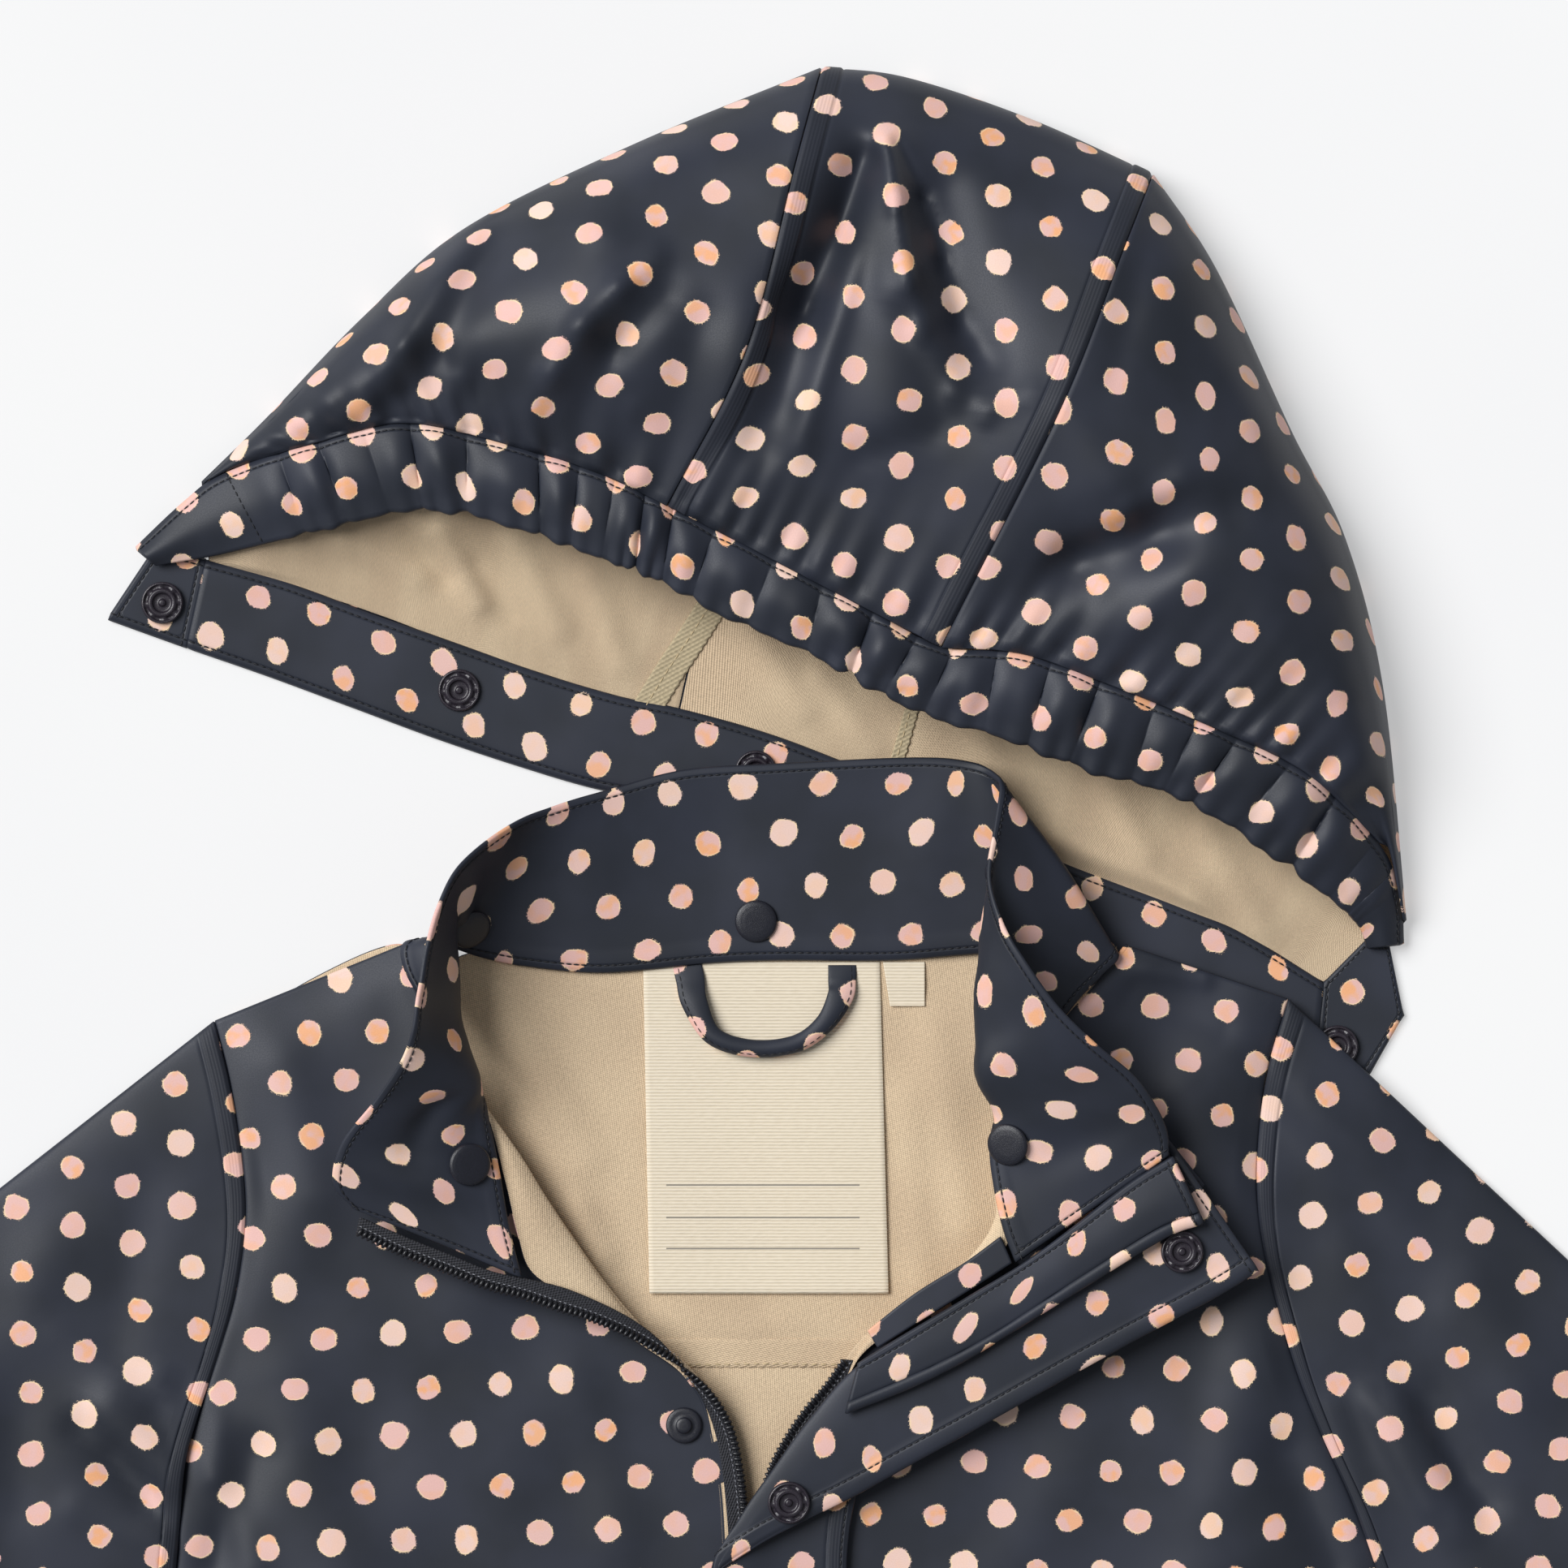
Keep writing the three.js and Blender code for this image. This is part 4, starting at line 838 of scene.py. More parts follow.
def coated_material():
    """Navy coated cloth: satin film with painted dots, a faint grain, ribs along the welded tapes and a
    painted shade line along stitched rows.
    """
    n, shader, material = new_material("coated_dots", 0.5)
    place = cut_place(n)
    dots = n.group(PAINTED_DOTS, {"Place": place})
    cloud = n.noise(place, 26, 3.0)["Fac"]
    ground = n.colour_mix(n.ramp(cloud, 0.3, 0.7), srgb("22262f"), srgb("2b2f3b"))
    tape = field(n, "weld")
    ground = n.colour_mix(n.times(tape, 0.45), ground, srgb("1d2029"))
    colour = n.colour_mix(dots["Mask"], ground, dots["Colour"])
    away = n.math("ABSOLUTE", n.minus(field(n, "stitch_run"), STITCH_LINE))
    # Painted shade of the stitch groove, darkening the cloth towards near-black; it also stands in for the
    # dark thread where stitches are too small to show
    painted_stitch_shade = n.times(n.ramp(away, STITCH_SHADE_REACH, 0.1), STITCH_SHADE)
    link(n, n.colour_mix(painted_stitch_shade, colour, srgb("0c0d12")), shader, "Base Color")
    grain = n.noise(place, 2400, 2.0)["Fac"]
    rough = n.plus(n.ramp(grain, 0.3, 0.7, 0.47, 0.55), n.times(dots["Mask"], 0.12))
    link(n, n.plus(rough, n.times(tape, 0.08)), shader, "Roughness")
    ribs = n.math("SINE", n.times(field(n, "seam_run"), 2 * math.pi / WELD_RIB_PITCH))
    ribs = n.times(n.times(ribs, tape), 0.35)
    height = n.plus(n.times(grain, 0.25), ribs)
    height = n.plus(height, n.times(dots["Mask"], 0.3))
    groove = n.ramp(away, STITCH_GROOVE_REACH, 0.1)
    height = n.minus(height, n.times(groove, STITCH_GROOVE))
    bump(n, shader, height, 0.00012, 0.5)
    link(n, 0.34, shader, "Specular IOR Level")
    return material


def lining_material(name, dark, light, pitch):
    """Twill in two close shades, with the pitch of its ribs."""
    n, shader, material = new_material(name, 0.85)
    weave = n.group(TWILL_WEAVE, {"Place": cut_place(n), "Pitch": pitch})
    cloud = n.noise(cut_place(n), 18, 3.0)["Fac"]
    ground = n.colour_mix(n.ramp(cloud, 0.3, 0.7), srgb(dark), srgb(light))
    shade = n.vector("MULTIPLY", (1, 1, 1), weave["Shade"])
    link(n, n.vector("MULTIPLY", ground, shade), shader, "Base Color")
    bump(n, shader, weave["Height"], 0.0003, 0.7)
    link(n, 0.15, shader, "Sheen Weight")
    return material


ZIP_TAPE_PITCH = 0.9 * MM


def tape_material():
    """Black woven zip tape."""
    n, shader, material = new_material("woven_tape", 0.75)
    weave = n.group(TWILL_WEAVE, {"Place": cut_place(n), "Pitch": ZIP_TAPE_PITCH})
    shade = n.ramp(weave["Shade"], 0.86, 1.1)
    link(n, n.colour_mix(shade, srgb("15161b"), srgb("2b2c33")), shader, "Base Color")
    bump(n, shader, weave["Height"], 0.0004, 0.8)
    return material


RULED_LINES_Y = (-128.4, -138.8, -148.7)
RULED_LEFT_X = -37.7
RULED_RIGHT_X = 24.2
RULED_HALF_WIDTH = (0.32 * MM, 0.18 * MM)
RIBBON_RIB_PITCH = 1.05 * MM


def ribbon_material(name, ruled):
    """Cream ribbed ribbon; the neck label has three ruled lines for a name to be written on."""
    n, shader, material = new_material(name, 0.8)
    place = cut_place(n)
    parts = n.add("ShaderNodeSeparateXYZ", {0: place}).outputs
    ribs = n.math("SINE", n.times(parts["Y"], 2 * math.pi / RIBBON_RIB_PITCH))
    fibre = n.noise(n.vector("MULTIPLY", place, (0.2, 1, 1)), 1800, 2.0)["Fac"]
    shade = n.plus(n.times(ribs, 0.5), fibre)
    colour = n.colour_mix(n.ramp(shade, -0.2, 1.2), srgb("d6c8af"), srgb("ece0cb"))
    if ruled:
        after_left = n.math("GREATER_THAN", parts["X"], RULED_LEFT_X * MM)
        inside = n.times(after_left, n.math("LESS_THAN", parts["X"], RULED_RIGHT_X * MM))
        for line_y in RULED_LINES_Y:
            away = n.math("ABSOLUTE", n.minus(parts["Y"], line_y * MM))
            line = n.times(n.ramp(away, *RULED_HALF_WIDTH), inside)
            colour = n.colour_mix(n.times(line, 0.85), colour, srgb("75706a"))
    link(n, colour, shader, "Base Color")
    bump(n, shader, shade, 0.00018, 0.7)
    return material


def plain_material(name, dark, light, roughness, scale, distance):
    """Finish in two close shades with a fine grain, for thread, plastic and teeth."""
    n, shader, material = new_material(name, roughness)
    place = n.add("ShaderNodeTexCoord").outputs["Object"]
    grain = n.noise(place, scale, 2.0)["Fac"]
    link(n, n.colour_mix(n.ramp(grain, 0.3, 0.7), srgb(dark), srgb(light)), shader, "Base Color")
    link(n, n.ramp(grain, 0.2, 0.8, roughness - 0.06, roughness + 0.06), shader, "Roughness")
    bump(n, shader, grain, distance, 0.5)
    return material


COATED = coated_material()
LINING = lining_material("twill_backing", "c8b092", "d6bf9f", 0.7 * MM)
SEAM_TAPE = lining_material("seam_tape_twill", "a59679", "b5a687", 1.4 * MM)
TAPE = tape_material()
LABEL = ribbon_material("label_ribbon", True)
SIZE_TAB = ribbon_material("tab_ribbon", False)
SNAP = plain_material("snap_plastic", "14151d", "1f212c", 0.36, 5000, 0.00012)
SOCKET = plain_material("socket_plastic", "1b1820", "332d36", 0.3, 5000, 0.00008)
TEETH = plain_material("coil_nylon", "0f1015", "1b1c22", 0.34, 3000, 0.00005)
NAVY_THREAD = plain_material("navy_thread", "0a0b10", "171a24", 0.6, 6000, 0.0001)
BEIGE_THREAD = plain_material("beige_thread", "b09a74", "d2bf9b", 0.8, 6000, 0.0001)
PALE_THREAD = plain_material("pale_thread", "777a84", "b4b6bd", 0.7, 6000, 0.0001)

# Stitches: length, width and height of each
STITCH = (1.95, 0.6, 0.55)
STITCH_PITCH = 2.4
BOTH_COATED = (COATED, COATED)


def dress(node, grid, thickness, finishes, cut, name=None,
          closed=False, fields=None, stitched=None):
    """Cloth piece in place of a solid, with the distances from its stitched rows; its cut is worked out but
    not kept.
    """
    fields = dict(fields or {})
    if stitched:
        fields["stitch_run"] = stitch_run(grid, stitched)
    thing = cloth(name or f"{node}_cloth", grid, thickness, finishes, cut, [node], closed, fields)
    declare(grid, closed)


# Armholes, from the shoulder down to the underarm
LEFT_ARMHOLE = table("x y z", [
    [-182, -76, 2.2],
    [-177, -96, 4.0],
    [-173, -120, 5.0],
    [-172, -140, 5.5],
    [-175, -162, 5.7],
    [-180, -180, 5.6],
    [-186, -198, 5.2],
    [-191, -216, 4.6],
    [-193, -236, 3.6],
    [-195, -258, 2.2],
])
RIGHT_ARMHOLE = table("x y z", [
    [161, -69, 4.8],
    [155, -89, 5.0],
    [152, -108, 5.4],
    [151, -128, 5.7],
    [153, -148, 5.8],
    [158, -168, 5.6],
    [164, -188, 5.2],
    [172, -208, 4.6],
    [182, -230, 3.6],
    [192, -258, 2.2],
])
LEFT_SIDE = table("x y z", [
    [-196, -290, 2.2],
    [-199, -345, 2.2],
    [-203, -440, 2.2],
    [-208, HEM_Y, 2.2],
])
RIGHT_SIDE = table("x y z", [
    [194, -290, 2.2],
    [197, -345, 2.2],
    [201, -440, 2.2],
    [206, HEM_Y, 2.2],
])

# Back yoke and back panel
YOKE_TOP = table("x y z", [
    [-181.5, -76.4, 0.6],
    [-150, -57, 0.9],
    [-124, -46.5, 3.2],
    [-112, -54, 2.2],
    [-97, -58.5, 0.7],
    [-57, -61.5, 0.6],
    [-3, -58, 0.6],
    [50, -57, 0.6],
    [64, -57, 0.9],
    [80, -57, 2.9],
    [107, -55, 3.1],
    [133, -56, 3.0],
    [148, -62, 3.0],
    [160.5, -69.5, 3.0],
])
YOKE_ROWS_Y = [-112, -130, -148, -165, YOKE_SEAM_Y]
YOKE_RAISED_DEPTH = 23
COLLAR_BACK_X = (-104, 68)
SHOULDER_TUCK = 5
COLLAR_TUCK = 5


def armhole_x(armhole, y):
    """X of an armhole at a height y, straight past its ends."""
    reached = armhole["y"] <= y
    below = max(1, int(np.argmax(reached)) if reached.any() else len(reached) - 1)
    x0, x1, y0, y1 = (armhole[key][at] for key in "xy" for at in (below - 1, below))
    return x0 + (x1 - x0) * (y - y0) / (y1 - y0)


def yoke_net():
    """Knots of the back yoke: its top edge, the raised row below it and the flat rows down to its seam."""
    top = columns(YOKE_TOP, "x", "y", "z")
    shares = even(len(top))
    behind_collar = between(top[:, 0], *COLLAR_BACK_X, 8)
    top[:, 1] += mix(-SHOULDER_TUCK, COLLAR_TUCK, behind_collar)

    def level(share, y):
        left = armhole_x(LEFT_ARMHOLE, y) + 2 * SEAM_GAP
        right = armhole_x(RIGHT_ARMHOLE, y) - 2 * SEAM_GAP
        return [mix(left, right, share), y, FLOOR_LAYER]

    net = []
    for share, corner in zip(shares, top):
        raised = level(share, corner[1] - YOKE_RAISED_DEPTH)
        raised[2] = corner[2]
        if 0 < share < 1:
            raised[0] = (raised[0] + corner[0]) / 2
        net.append([corner, raised] + [level(share, y) for y in YOKE_ROWS_Y])
    return net


BACK_SIDES = table("left right y", [
    [-180.4, 161.8, YOKE_SEAM_Y - SEAM_GAP],
    [-190.4, 174.2, -216],
    [-194.5, 191.2, -258],
    [-197.5, 195, -320],
    [-202, 199.5, -430],
    [-208, 206, HEM_Y],
])


NECK_LEFT_X = -118
NECK_RIGHT_X = 62
NECK_TOP_Y = -66


def make_back():
    """Back yoke and back panel, both with their twill side up."""
    yoke = grid_of(skin(yoke_net()), even(60), even(130))
    inside = between(yoke[..., 0], NECK_LEFT_X, NECK_RIGHT_X, 12)
    inside = inside * (1 - smooth_step((yoke[..., 1] - NECK_TOP_Y) / 6))
    yoke = pressed(yoke, inside, LINING_CREASES, rippled=0.4)
    yoke[..., 2] = np.maximum(yoke[..., 2], FLOOR_LAYER - 0.1)
    cut = on_cut(yoke[..., :2], 8)
    dress("back_yoke", yoke, CLOTH, (LINING, COATED), cut)
    left, right = columns(BACK_SIDES, "left", "y"), columns(BACK_SIDES, "right", "y")
    net = flat_net(np.stack([left, (left + right) / 2, right], axis=1), FLOOR_LAYER)
    panel = grid_of(skin(net), even(70), even(70))
    cut = on_cut(panel[..., :2], 3, (5, 3))
    dress("back_panel", panel, CLOTH, (COATED, LINING), cut)


ALLOWANCE_X = (-60, 44)
ALLOWANCE_ABOVE = 4.2
ALLOWANCE_BELOW = 4.6
ALLOWANCE_CLOTH = 0.5


def make_yoke_seam():
    """Frayed raw edge of the yoke's seam, with a stitched row along it."""
    x = np.linspace(*ALLOWANCE_X, 80)[:, None]
    fray = 0.25 * np.sin(x * 1.9)
    y = np.linspace(YOKE_SEAM_Y + ALLOWANCE_ABOVE, YOKE_SEAM_Y - ALLOWANCE_BELOW, 9) + fray
    strip = np.stack(np.broadcast_arrays(x, y, FLOOR_LAYER + CLOTH / 2 + 0.3), axis=-1)
    strip = pressed(strip, 0.2, rippled=0.6)
    cut = on_cut(strip[..., :2], 40)
    cloth("yoke_seam_allowance", strip, ALLOWANCE_CLOTH, (LINING, LINING), cut, [])
    normals = grid_normals(strip)
    ups = normals * np.sign(normals[..., 2].mean())
    line = inset_line(strip, ups, "last column", 0.8, 0.3)
    beads("yoke_seam_stitching", [line], 3.2, STITCH, BEIGE_THREAD)


# Fronts, down the roll of their free edge
FRONT_COLUMNS = "roll_x roll_y roll_z turn_x turn_y turn_rise middle_z"
LEFT_FRONT = table(FRONT_COLUMNS, [
    [-118, -50, 5.6, -117, -49.4, 0.3, 3.2],
    [-120, -63, 8.0, -119, -62.4, 0.3, 5.8],
    [-108, -87, 10.6, -107, -86.4, 0.4, 7.0],
    [-96, -103, 10.6, -95.4, -103.4, 1.6, 7.6],
    [-85, -118, 9.6, -89, -126, 5.0, 7.6],
    [-77, -131, 8.6, -85, -143, 6.0, 7.2],
    [-68, -145, 8.0, -80, -156, 6.0, 7.0],
    [-57, -161, 7.4, -64, -166, 5.4, 6.8],
    [-45, -176, 6.8, -47, -178, 4.0, 6.5],
    [-31, -190, 6.4, -30.6, -190.4, 1.6, 6.2],
    [-24, -206, 6.0, -23.4, -206.2, 0.1, 5.8],
    [-19.4, -250, 5.7, -18.6, -250, 0.05, 5.6],
    [-18, -400, 5.6, -17.2, -400, 0, 5.6],
    [-18, HEM_Y, 5.6, -17.2, HEM_Y, 0, 5.6],
])
RIGHT_FRONT = table(FRONT_COLUMNS, [
    [110, -52, 7.6, 109.2, -51.4, 0.3, 5.6],
    [100, -65, 10.0, 99.2, -64.4, 0.3, 7.0],
    [86, -81, 11.0, 85.2, -80.4, 0.3, 7.6],
    [72, -103, 11.4, 71.2, -102.6, 0.8, 8.2],
    [67, -122, 10.6, 70, -126, 4.4, 8.0],
    [68, -138, 9.6, 72, -144, 5.8, 7.6],
    [59, -152, 8.8, 63, -157, 5.8, 7.4],
    [41, -165, 8.2, 44, -169.4, 5.0, 7.0],
    [26, -179, 7.6, 26.4, -180.6, 3.0, 6.7],
    [18, -195, 6.8, 17.4, -195.4, 0.8, 6.3],
    [4.6, -219, 6.2, 3.8, -219.2, 0.1, 5.9],
    [-3.4, -260, 5.8, -4.2, -260, 0.05, 5.6],
    [-4, -400, 5.6, -4.8, -400, 0, 5.6],
    [-4, HEM_Y, 5.6, -4.8, HEM_Y, 0, 5.6],
])


# Knots across a front, as shares of the way from its outer edge to its roll and on to its turned edge
FRONT_FLAT_KNOTS = (0.22, 0.6)
FRONT_TURNED_KNOT = 0.35


def front_net(rows, armhole, side):
    """Knots of a front: armhole or side seam, two flat columns, the roll and the turned edge."""
    outer = np.concatenate([columns(armhole, "x", "y", "z"), columns(side, "x", "y", "z")])
    roll = columns(rows, "roll_x", "roll_y", "roll_z")
    turned = columns(rows, "turn_x", "turn_y", "roll_z")
    rise = rows["turn_rise"]
    turned[:, 2] += rise
    inward = outer - roll
    inward[:, 2] = 0
    start = roll + unit(inward) * (0.7 * rise + 2)[:, None]
    return np.stack([
        outer,
        at_height(mix(outer, roll, FRONT_FLAT_KNOTS[0]), rows["middle_z"]),
        at_height(mix(outer, roll, FRONT_FLAT_KNOTS[1]), rows["middle_z"] + 0.1),
        start,
        at_height(roll, rows["roll_z"] + rise / 2),
        at_height(mix(roll, turned, FRONT_TURNED_KNOT), rows["roll_z"] + rise),
        turned,
    ], axis=1)


FRONT_ACROSS = dense_start(118, 0.5, 74)
FRONT_ALONG = dense_start(194, 0.78, 150)
FRONT_FLAT_SHARE = 0.42
SEAM_DIP = 0.5


def make_front(node, rows, armhole, side, finishes, angle, shift):
    """Front panel with its soft folds, its cloth turned back at the neck."""
    grid = grid_of(skin(front_net(rows, armhole, side)), FRONT_ACROSS, FRONT_ALONG)
    weight = between(FRONT_ACROSS, 0, FRONT_FLAT_SHARE, 0.08)[None, :]
    grid = pressed(grid, weight, LARGE_FOLDS, COAT_CREASES)
    grid[..., 2] -= SEAM_DIP * np.exp(-run_along(grid, 1) / 1.2)
    cut = on_cut(grid[..., :2], angle, shift)
    dress(node, grid, CLOTH, finishes, cut)


# Sleeves
SLEEVE_ON_BAND = 0.1
LAYER_GAP = 0.3


def sleeve_grid(armhole, degrees, turn, cover):
    """Flat tube: u goes round from the shoulder edge over the top and back below, v runs to the cuff.

    The upper layer's height follows sin(turn) to the power 0.8, cover more where it lies on the neckband.
    Also gives sin(turn) for the upper layer, and 0 for the lower one.
    """
    angle = math.radians(degrees)
    direction = np.array([math.cos(angle), math.sin(angle), 0])
    downward = np.array([-math.sin(angle), math.cos(angle), 0]) * turn
    shoulder = np.array([armhole["x"][0], armhole["y"][0], 0])
    cuff_top = shoulder + direction * SLEEVE_LENGTH
    cuff_low = cuff_top + downward * CUFF_WIDTH
    u = np.linspace(0, 1, 132, endpoint=False)[None, :, None]
    v = dense_start(104, 0.04, 26)[:, None, None]
    turning = 2 * math.pi * u
    share = (1 - np.cos(turning)) / 2
    hole = columns(armhole, "x", "y", "z")
    hole[:, 2] = 0
    rim = curve(hole, share[0, :, 0])[None]
    place = mix(rim, mix(cuff_top, cuff_low, share), v) + direction * SEAM_GAP * (1 - v) * 2
    rise = np.sin(turning)
    upper = EDGE_LOFT + (SLEEVE_LOFT - EDGE_LOFT) * np.maximum(0, rise) ** 0.8
    lower = EDGE_LOFT * np.maximum(0, 1 + rise / 0.3) ** 2
    over_band = 1 - smooth_step((share - SLEEVE_ON_BAND) / 0.12)
    over_band = over_band * (1 - smooth_step((v - SLEEVE_ON_BAND) / 0.1))
    place[..., 2] = (FLOOR_LAYER + np.where(rise >= 0, upper, lower) + cover * over_band)[..., 0]
    return place, np.maximum(0, rise)[..., 0] * np.ones(place.shape[:2])


def make_sleeve(node, armhole, degrees, turn, cover, finishes, angle, shift):
    """Sleeve with its underarm folds and the welded tape along its armhole seam."""
    grid, upper = sleeve_grid(armhole, degrees, turn, cover)
    run = run_along(grid, 0)
    grid = pressed(grid, upper, LARGE_FOLDS, COAT_CREASES)
    grid[..., 2] += np.minimum(1, 3 * upper) * (weld(run) - SEAM_DIP * np.exp(-run / 1.0))
    above_lower = FLOOR_LAYER + 2 * CLOTH + LAYER_GAP
    grid[..., 2] = np.where(upper > 0.2, np.maximum(grid[..., 2], above_lower), grid[..., 2])
    fields = {"weld": weld_mask(run), "seam_run": run}
    cut = on_cut(grid[..., :2], angle, shift)
    dress(node, grid, CLOTH, finishes, cut, closed=True, fields=fields)


# Collar, from its left end round the back to its right end
COLLAR = table("seam_x seam_y seam_z bend_x bend_y bend_z top_x top_y top_z", [
    [-84, -157, 17.4, -110, -146, 19.5, -137, -135, 22],
    [-88, -141, 17.4, -114, -135, 21, -143, -127, 25],
    [-91, -124, 17.2, -116, -119, 24, -140, -114, 30],
    [-94, -109, 16.4, -110, -105, 28, -129, -100, 36],
    [-97, -98, 14.6, -99, -96, 27, -121, -88, 42],
    [-105, -85, 13.2, -101, -83, 25, -117, -77, 46],
    [-114, -71, 12, -103, -70, 25, -115, -65, 47],
    [-121, -59, 10.4, -104, -58, 24, -113, -52, 45],
    [-121, -51, 8.4, -105, -49, 22, -109, -38, 41],
    [-110, -51, 5.8, -104, -42, 18, -102, -25, 34],
    [-97, -55, 3.6, -96, -37, 11, -88, -14, 23],
    [-82, -58, 2.7, -78, -33, 6.8, -72, -7, 14],
    [-57, -60, 2.5, -56, -31, 5.2, -55, -2, 9.5],
    [-25, -57, 2.5, -27, -27, 4.8, -32, 4, 8],
    [-3, -56, 2.5, -3, -25, 4.8, -3, 6, 7.6],
    [34, -56, 2.5, 36, -24, 5, 42, 8, 8],
    [61, -54, 3.4, 61, -24, 6.2, 60, 6.5, 10],
    [87, -53, 5.8, 80, -27, 10, 67, 3, 15],
    [106, -54, 10.4, 90, -28, 18, 69, -1, 22],
    [101, -61, 13, 79, -39, 25, 67, -14, 28],
    [95, -67, 13.6, 67, -47, 27, 65, -29, 34],
    [90, -73, 14, 62, -60, 27, 69, -44, 40],
    [83, -81, 14, 61, -72, 27, 76, -56, 42],
    [76, -90, 14, 62, -83, 26, 86, -70, 41],
    [70, -101, 14.6, 65, -95, 26, 98, -82, 38],
    [66, -114, 17.6, 78, -105, 25.4, 111, -93, 33],
    [67, -127, 18.6, 89, -116, 23.6, 118, -103, 29],
    [70, -141, 19, 94, -127, 22.2, 121.5, -111, 26],
    [74, -152, 19, 98, -135, 21.4, 122, -118, 24.5],
])
COLLAR_CREASES = table("u v wide_u wide_v height", [
    [0.55, 0.10, 0.12, 0.03, 2.4],
    [0.5, 0.055, 0.3, 0.012, -1.8],
    [0.7, 0.2, 0.3, 0.018, 1.5],
    [0.5, 0.33, 0.35, 0.016, -2.1],
    [0.6, 0.375, 0.35, 0.014, 1.8],
    [0.55, 0.42, 0.3, 0.018, -1.0],
    [0.6, 0.47, 0.3, 0.02, 0.9],
    [0.6, 0.55, 0.4, 0.018, -1.0],
    [0.5, 0.6, 0.35, 0.014, 1.4],
    [0.5, 0.66, 0.35, 0.014, -1.2],
    [0.5, 0.75, 0.3, 0.016, 1.2],
    [0.5, 0.84, 0.3, 0.018, -1.2],
    [0.55, 0.93, 0.3, 0.02, 1.2],
])


def collar_surface():
    """Collar: seam, bend and top knots for each row."""
    names = [f"{line}_{axis}" for line in ("seam", "bend", "top") for axis in "xyz"]
    return skin(columns(COLLAR, *names).reshape(-1, 3, 3))


def dented(grid, across, along, dents):
    """Grid moved along its normal by soft oval bumps and hollows placed by u and v."""
    u, v = np.asarray(across)[None, :], np.asarray(along)[:, None]
    height = np.zeros(grid.shape[:2])
    for at_u, at_v, wide_u, wide_v, rise in zip(*dents.values()):
        height += rise * np.exp(-(((u - at_u) / wide_u) ** 2) - ((v - at_v) / wide_v) ** 2)
    height *= between(u, 0, 0.96, 0.1)
    return grid + grid_normals(grid) * height[..., None]


STITCH_LIFT = 0.05


def topstitching(name, grid, thickness, side, rows):
    """Rows of stitches on one side of a strip, each an edge and a distance from it."""
    ups = grid_normals(grid) * side
    lines = [inset_line(grid, ups, edge, inset, thickness / 2 + STITCH_LIFT) for edge, inset in rows]
    beads(name, lines, STITCH_PITCH, STITCH, NAVY_THREAD)


def topstitching_both(name, grid, thickness, rows):
    """The same rows of stitches on the outer and the inner side of a strip."""
    for side, label in ((1, "outer"), (-1, "inner")):
        topstitching(f"{name}_{label}", grid, thickness, side, rows)


EDGES = ("first column", "last column", "first row", "last row")
COLLAR_STITCH_INSET = 2.1
COLLAR_SEAM_SWELL = 0.35


def make_collar():
    """Double stand collar with topstitching along all its edges."""
    across, along = even(30), even(300)
    grid = dented(grid_of(collar_surface(), across, along), across, along, COLLAR_CREASES)
    run_up = run_along(grid, 1)
    seam_swell = COLLAR_SEAM_SWELL * np.sin(math.pi * np.clip((run_up - 1.5) / 4, 0, 1))
    grid = grid - grid_normals(grid) * seam_swell[..., None]
    cut = on_cut(strip_cut(grid, 15), 0, (4, 9))
    rows = [(edge, COLLAR_STITCH_INSET) for edge in EDGES]
    dress("collar", grid, COLLAR_CLOTH, BOTH_COATED, cut, stitched=rows)
    topstitching_both("collar_stitching", grid, COLLAR_CLOTH, rows)


# Storm flap, from its rolled top end down to the hem
PLACKET = table("seam_x seam_y seam_z roll_x roll_y roll_z edge_x edge_y edge_z rolled", [
    [134, -128, 13, 122, -113, 16.4, 151, -155, 19.2, 1],
    [114, -147, 13, 110, -130, 16.6, 138, -163, 19.2, 1],
    [95, -161, 13, 89, -147, 16.8, 110, -178, 18.8, 1],
    [77, -173, 13, 70, -160.4, 17, 83, -193, 18.2, 1],
    [60, -184, 12.6, 48, -174, 16.4, 60, -206, 17.2, 1],
    [42, -194, 12.2, 25, -185, 15.8, 40, -217, 16.4, 1],
    [30, -208, 11.4, 9, -202, 15, 24, -226, 15.8, 1],
    [23, -226, 10.6, -4, -220, 14.8, 6, -235, 15.4, 1],
    [20, -245, 9.6, -13, -234, 14, -8, -242.5, 14.6, 0.8],
    [20, -266, 8.6, -21, -252, 12.8, -24, -254, 12.6, 0.2],
    [20, -290, 8.0, -14, -280, 11.2, -39, -274, 10, 0],
    [20, -325, 7.6, -13, -320, 9.2, -42, -315, 8.4, 0],
    [20.5, -430, 7.6, -12, -430, 8.6, -42, -430, 8, 0],
    [21, HEM_Y, 7.6, -12, HEM_Y, 8.4, -42, HEM_Y, 7.8, 0],
])


FLAP_UNDER_KNOT = 0.62
FLAP_OVER_KNOT = 0.3
FLAP_CROWN = 0.8


def placket_surface():
    """Storm flap: seam, under, roll, over and edge knots for each row."""
    seam = columns(PLACKET, "seam_x", "seam_y", "seam_z")
    roll = columns(PLACKET, "roll_x", "roll_y", "roll_z")
    edge = columns(PLACKET, "edge_x", "edge_y", "edge_z")
    rolled = PLACKET["rolled"]
    under, over = mix(seam, roll, FLAP_UNDER_KNOT), mix(roll, edge, FLAP_OVER_KNOT)
    under[:, 2] = mix(under[:, 2], seam[:, 2], rolled)
    over[:, 2] = mix(over[:, 2], edge[:, 2] + FLAP_CROWN, rolled)
    return skin(np.stack([seam, under, roll, over, edge], axis=1))


FLAP_STITCH_INSET = 5.4
FLAP_RIDGE = 0.5
FLAP_CLOSED_Y = -222


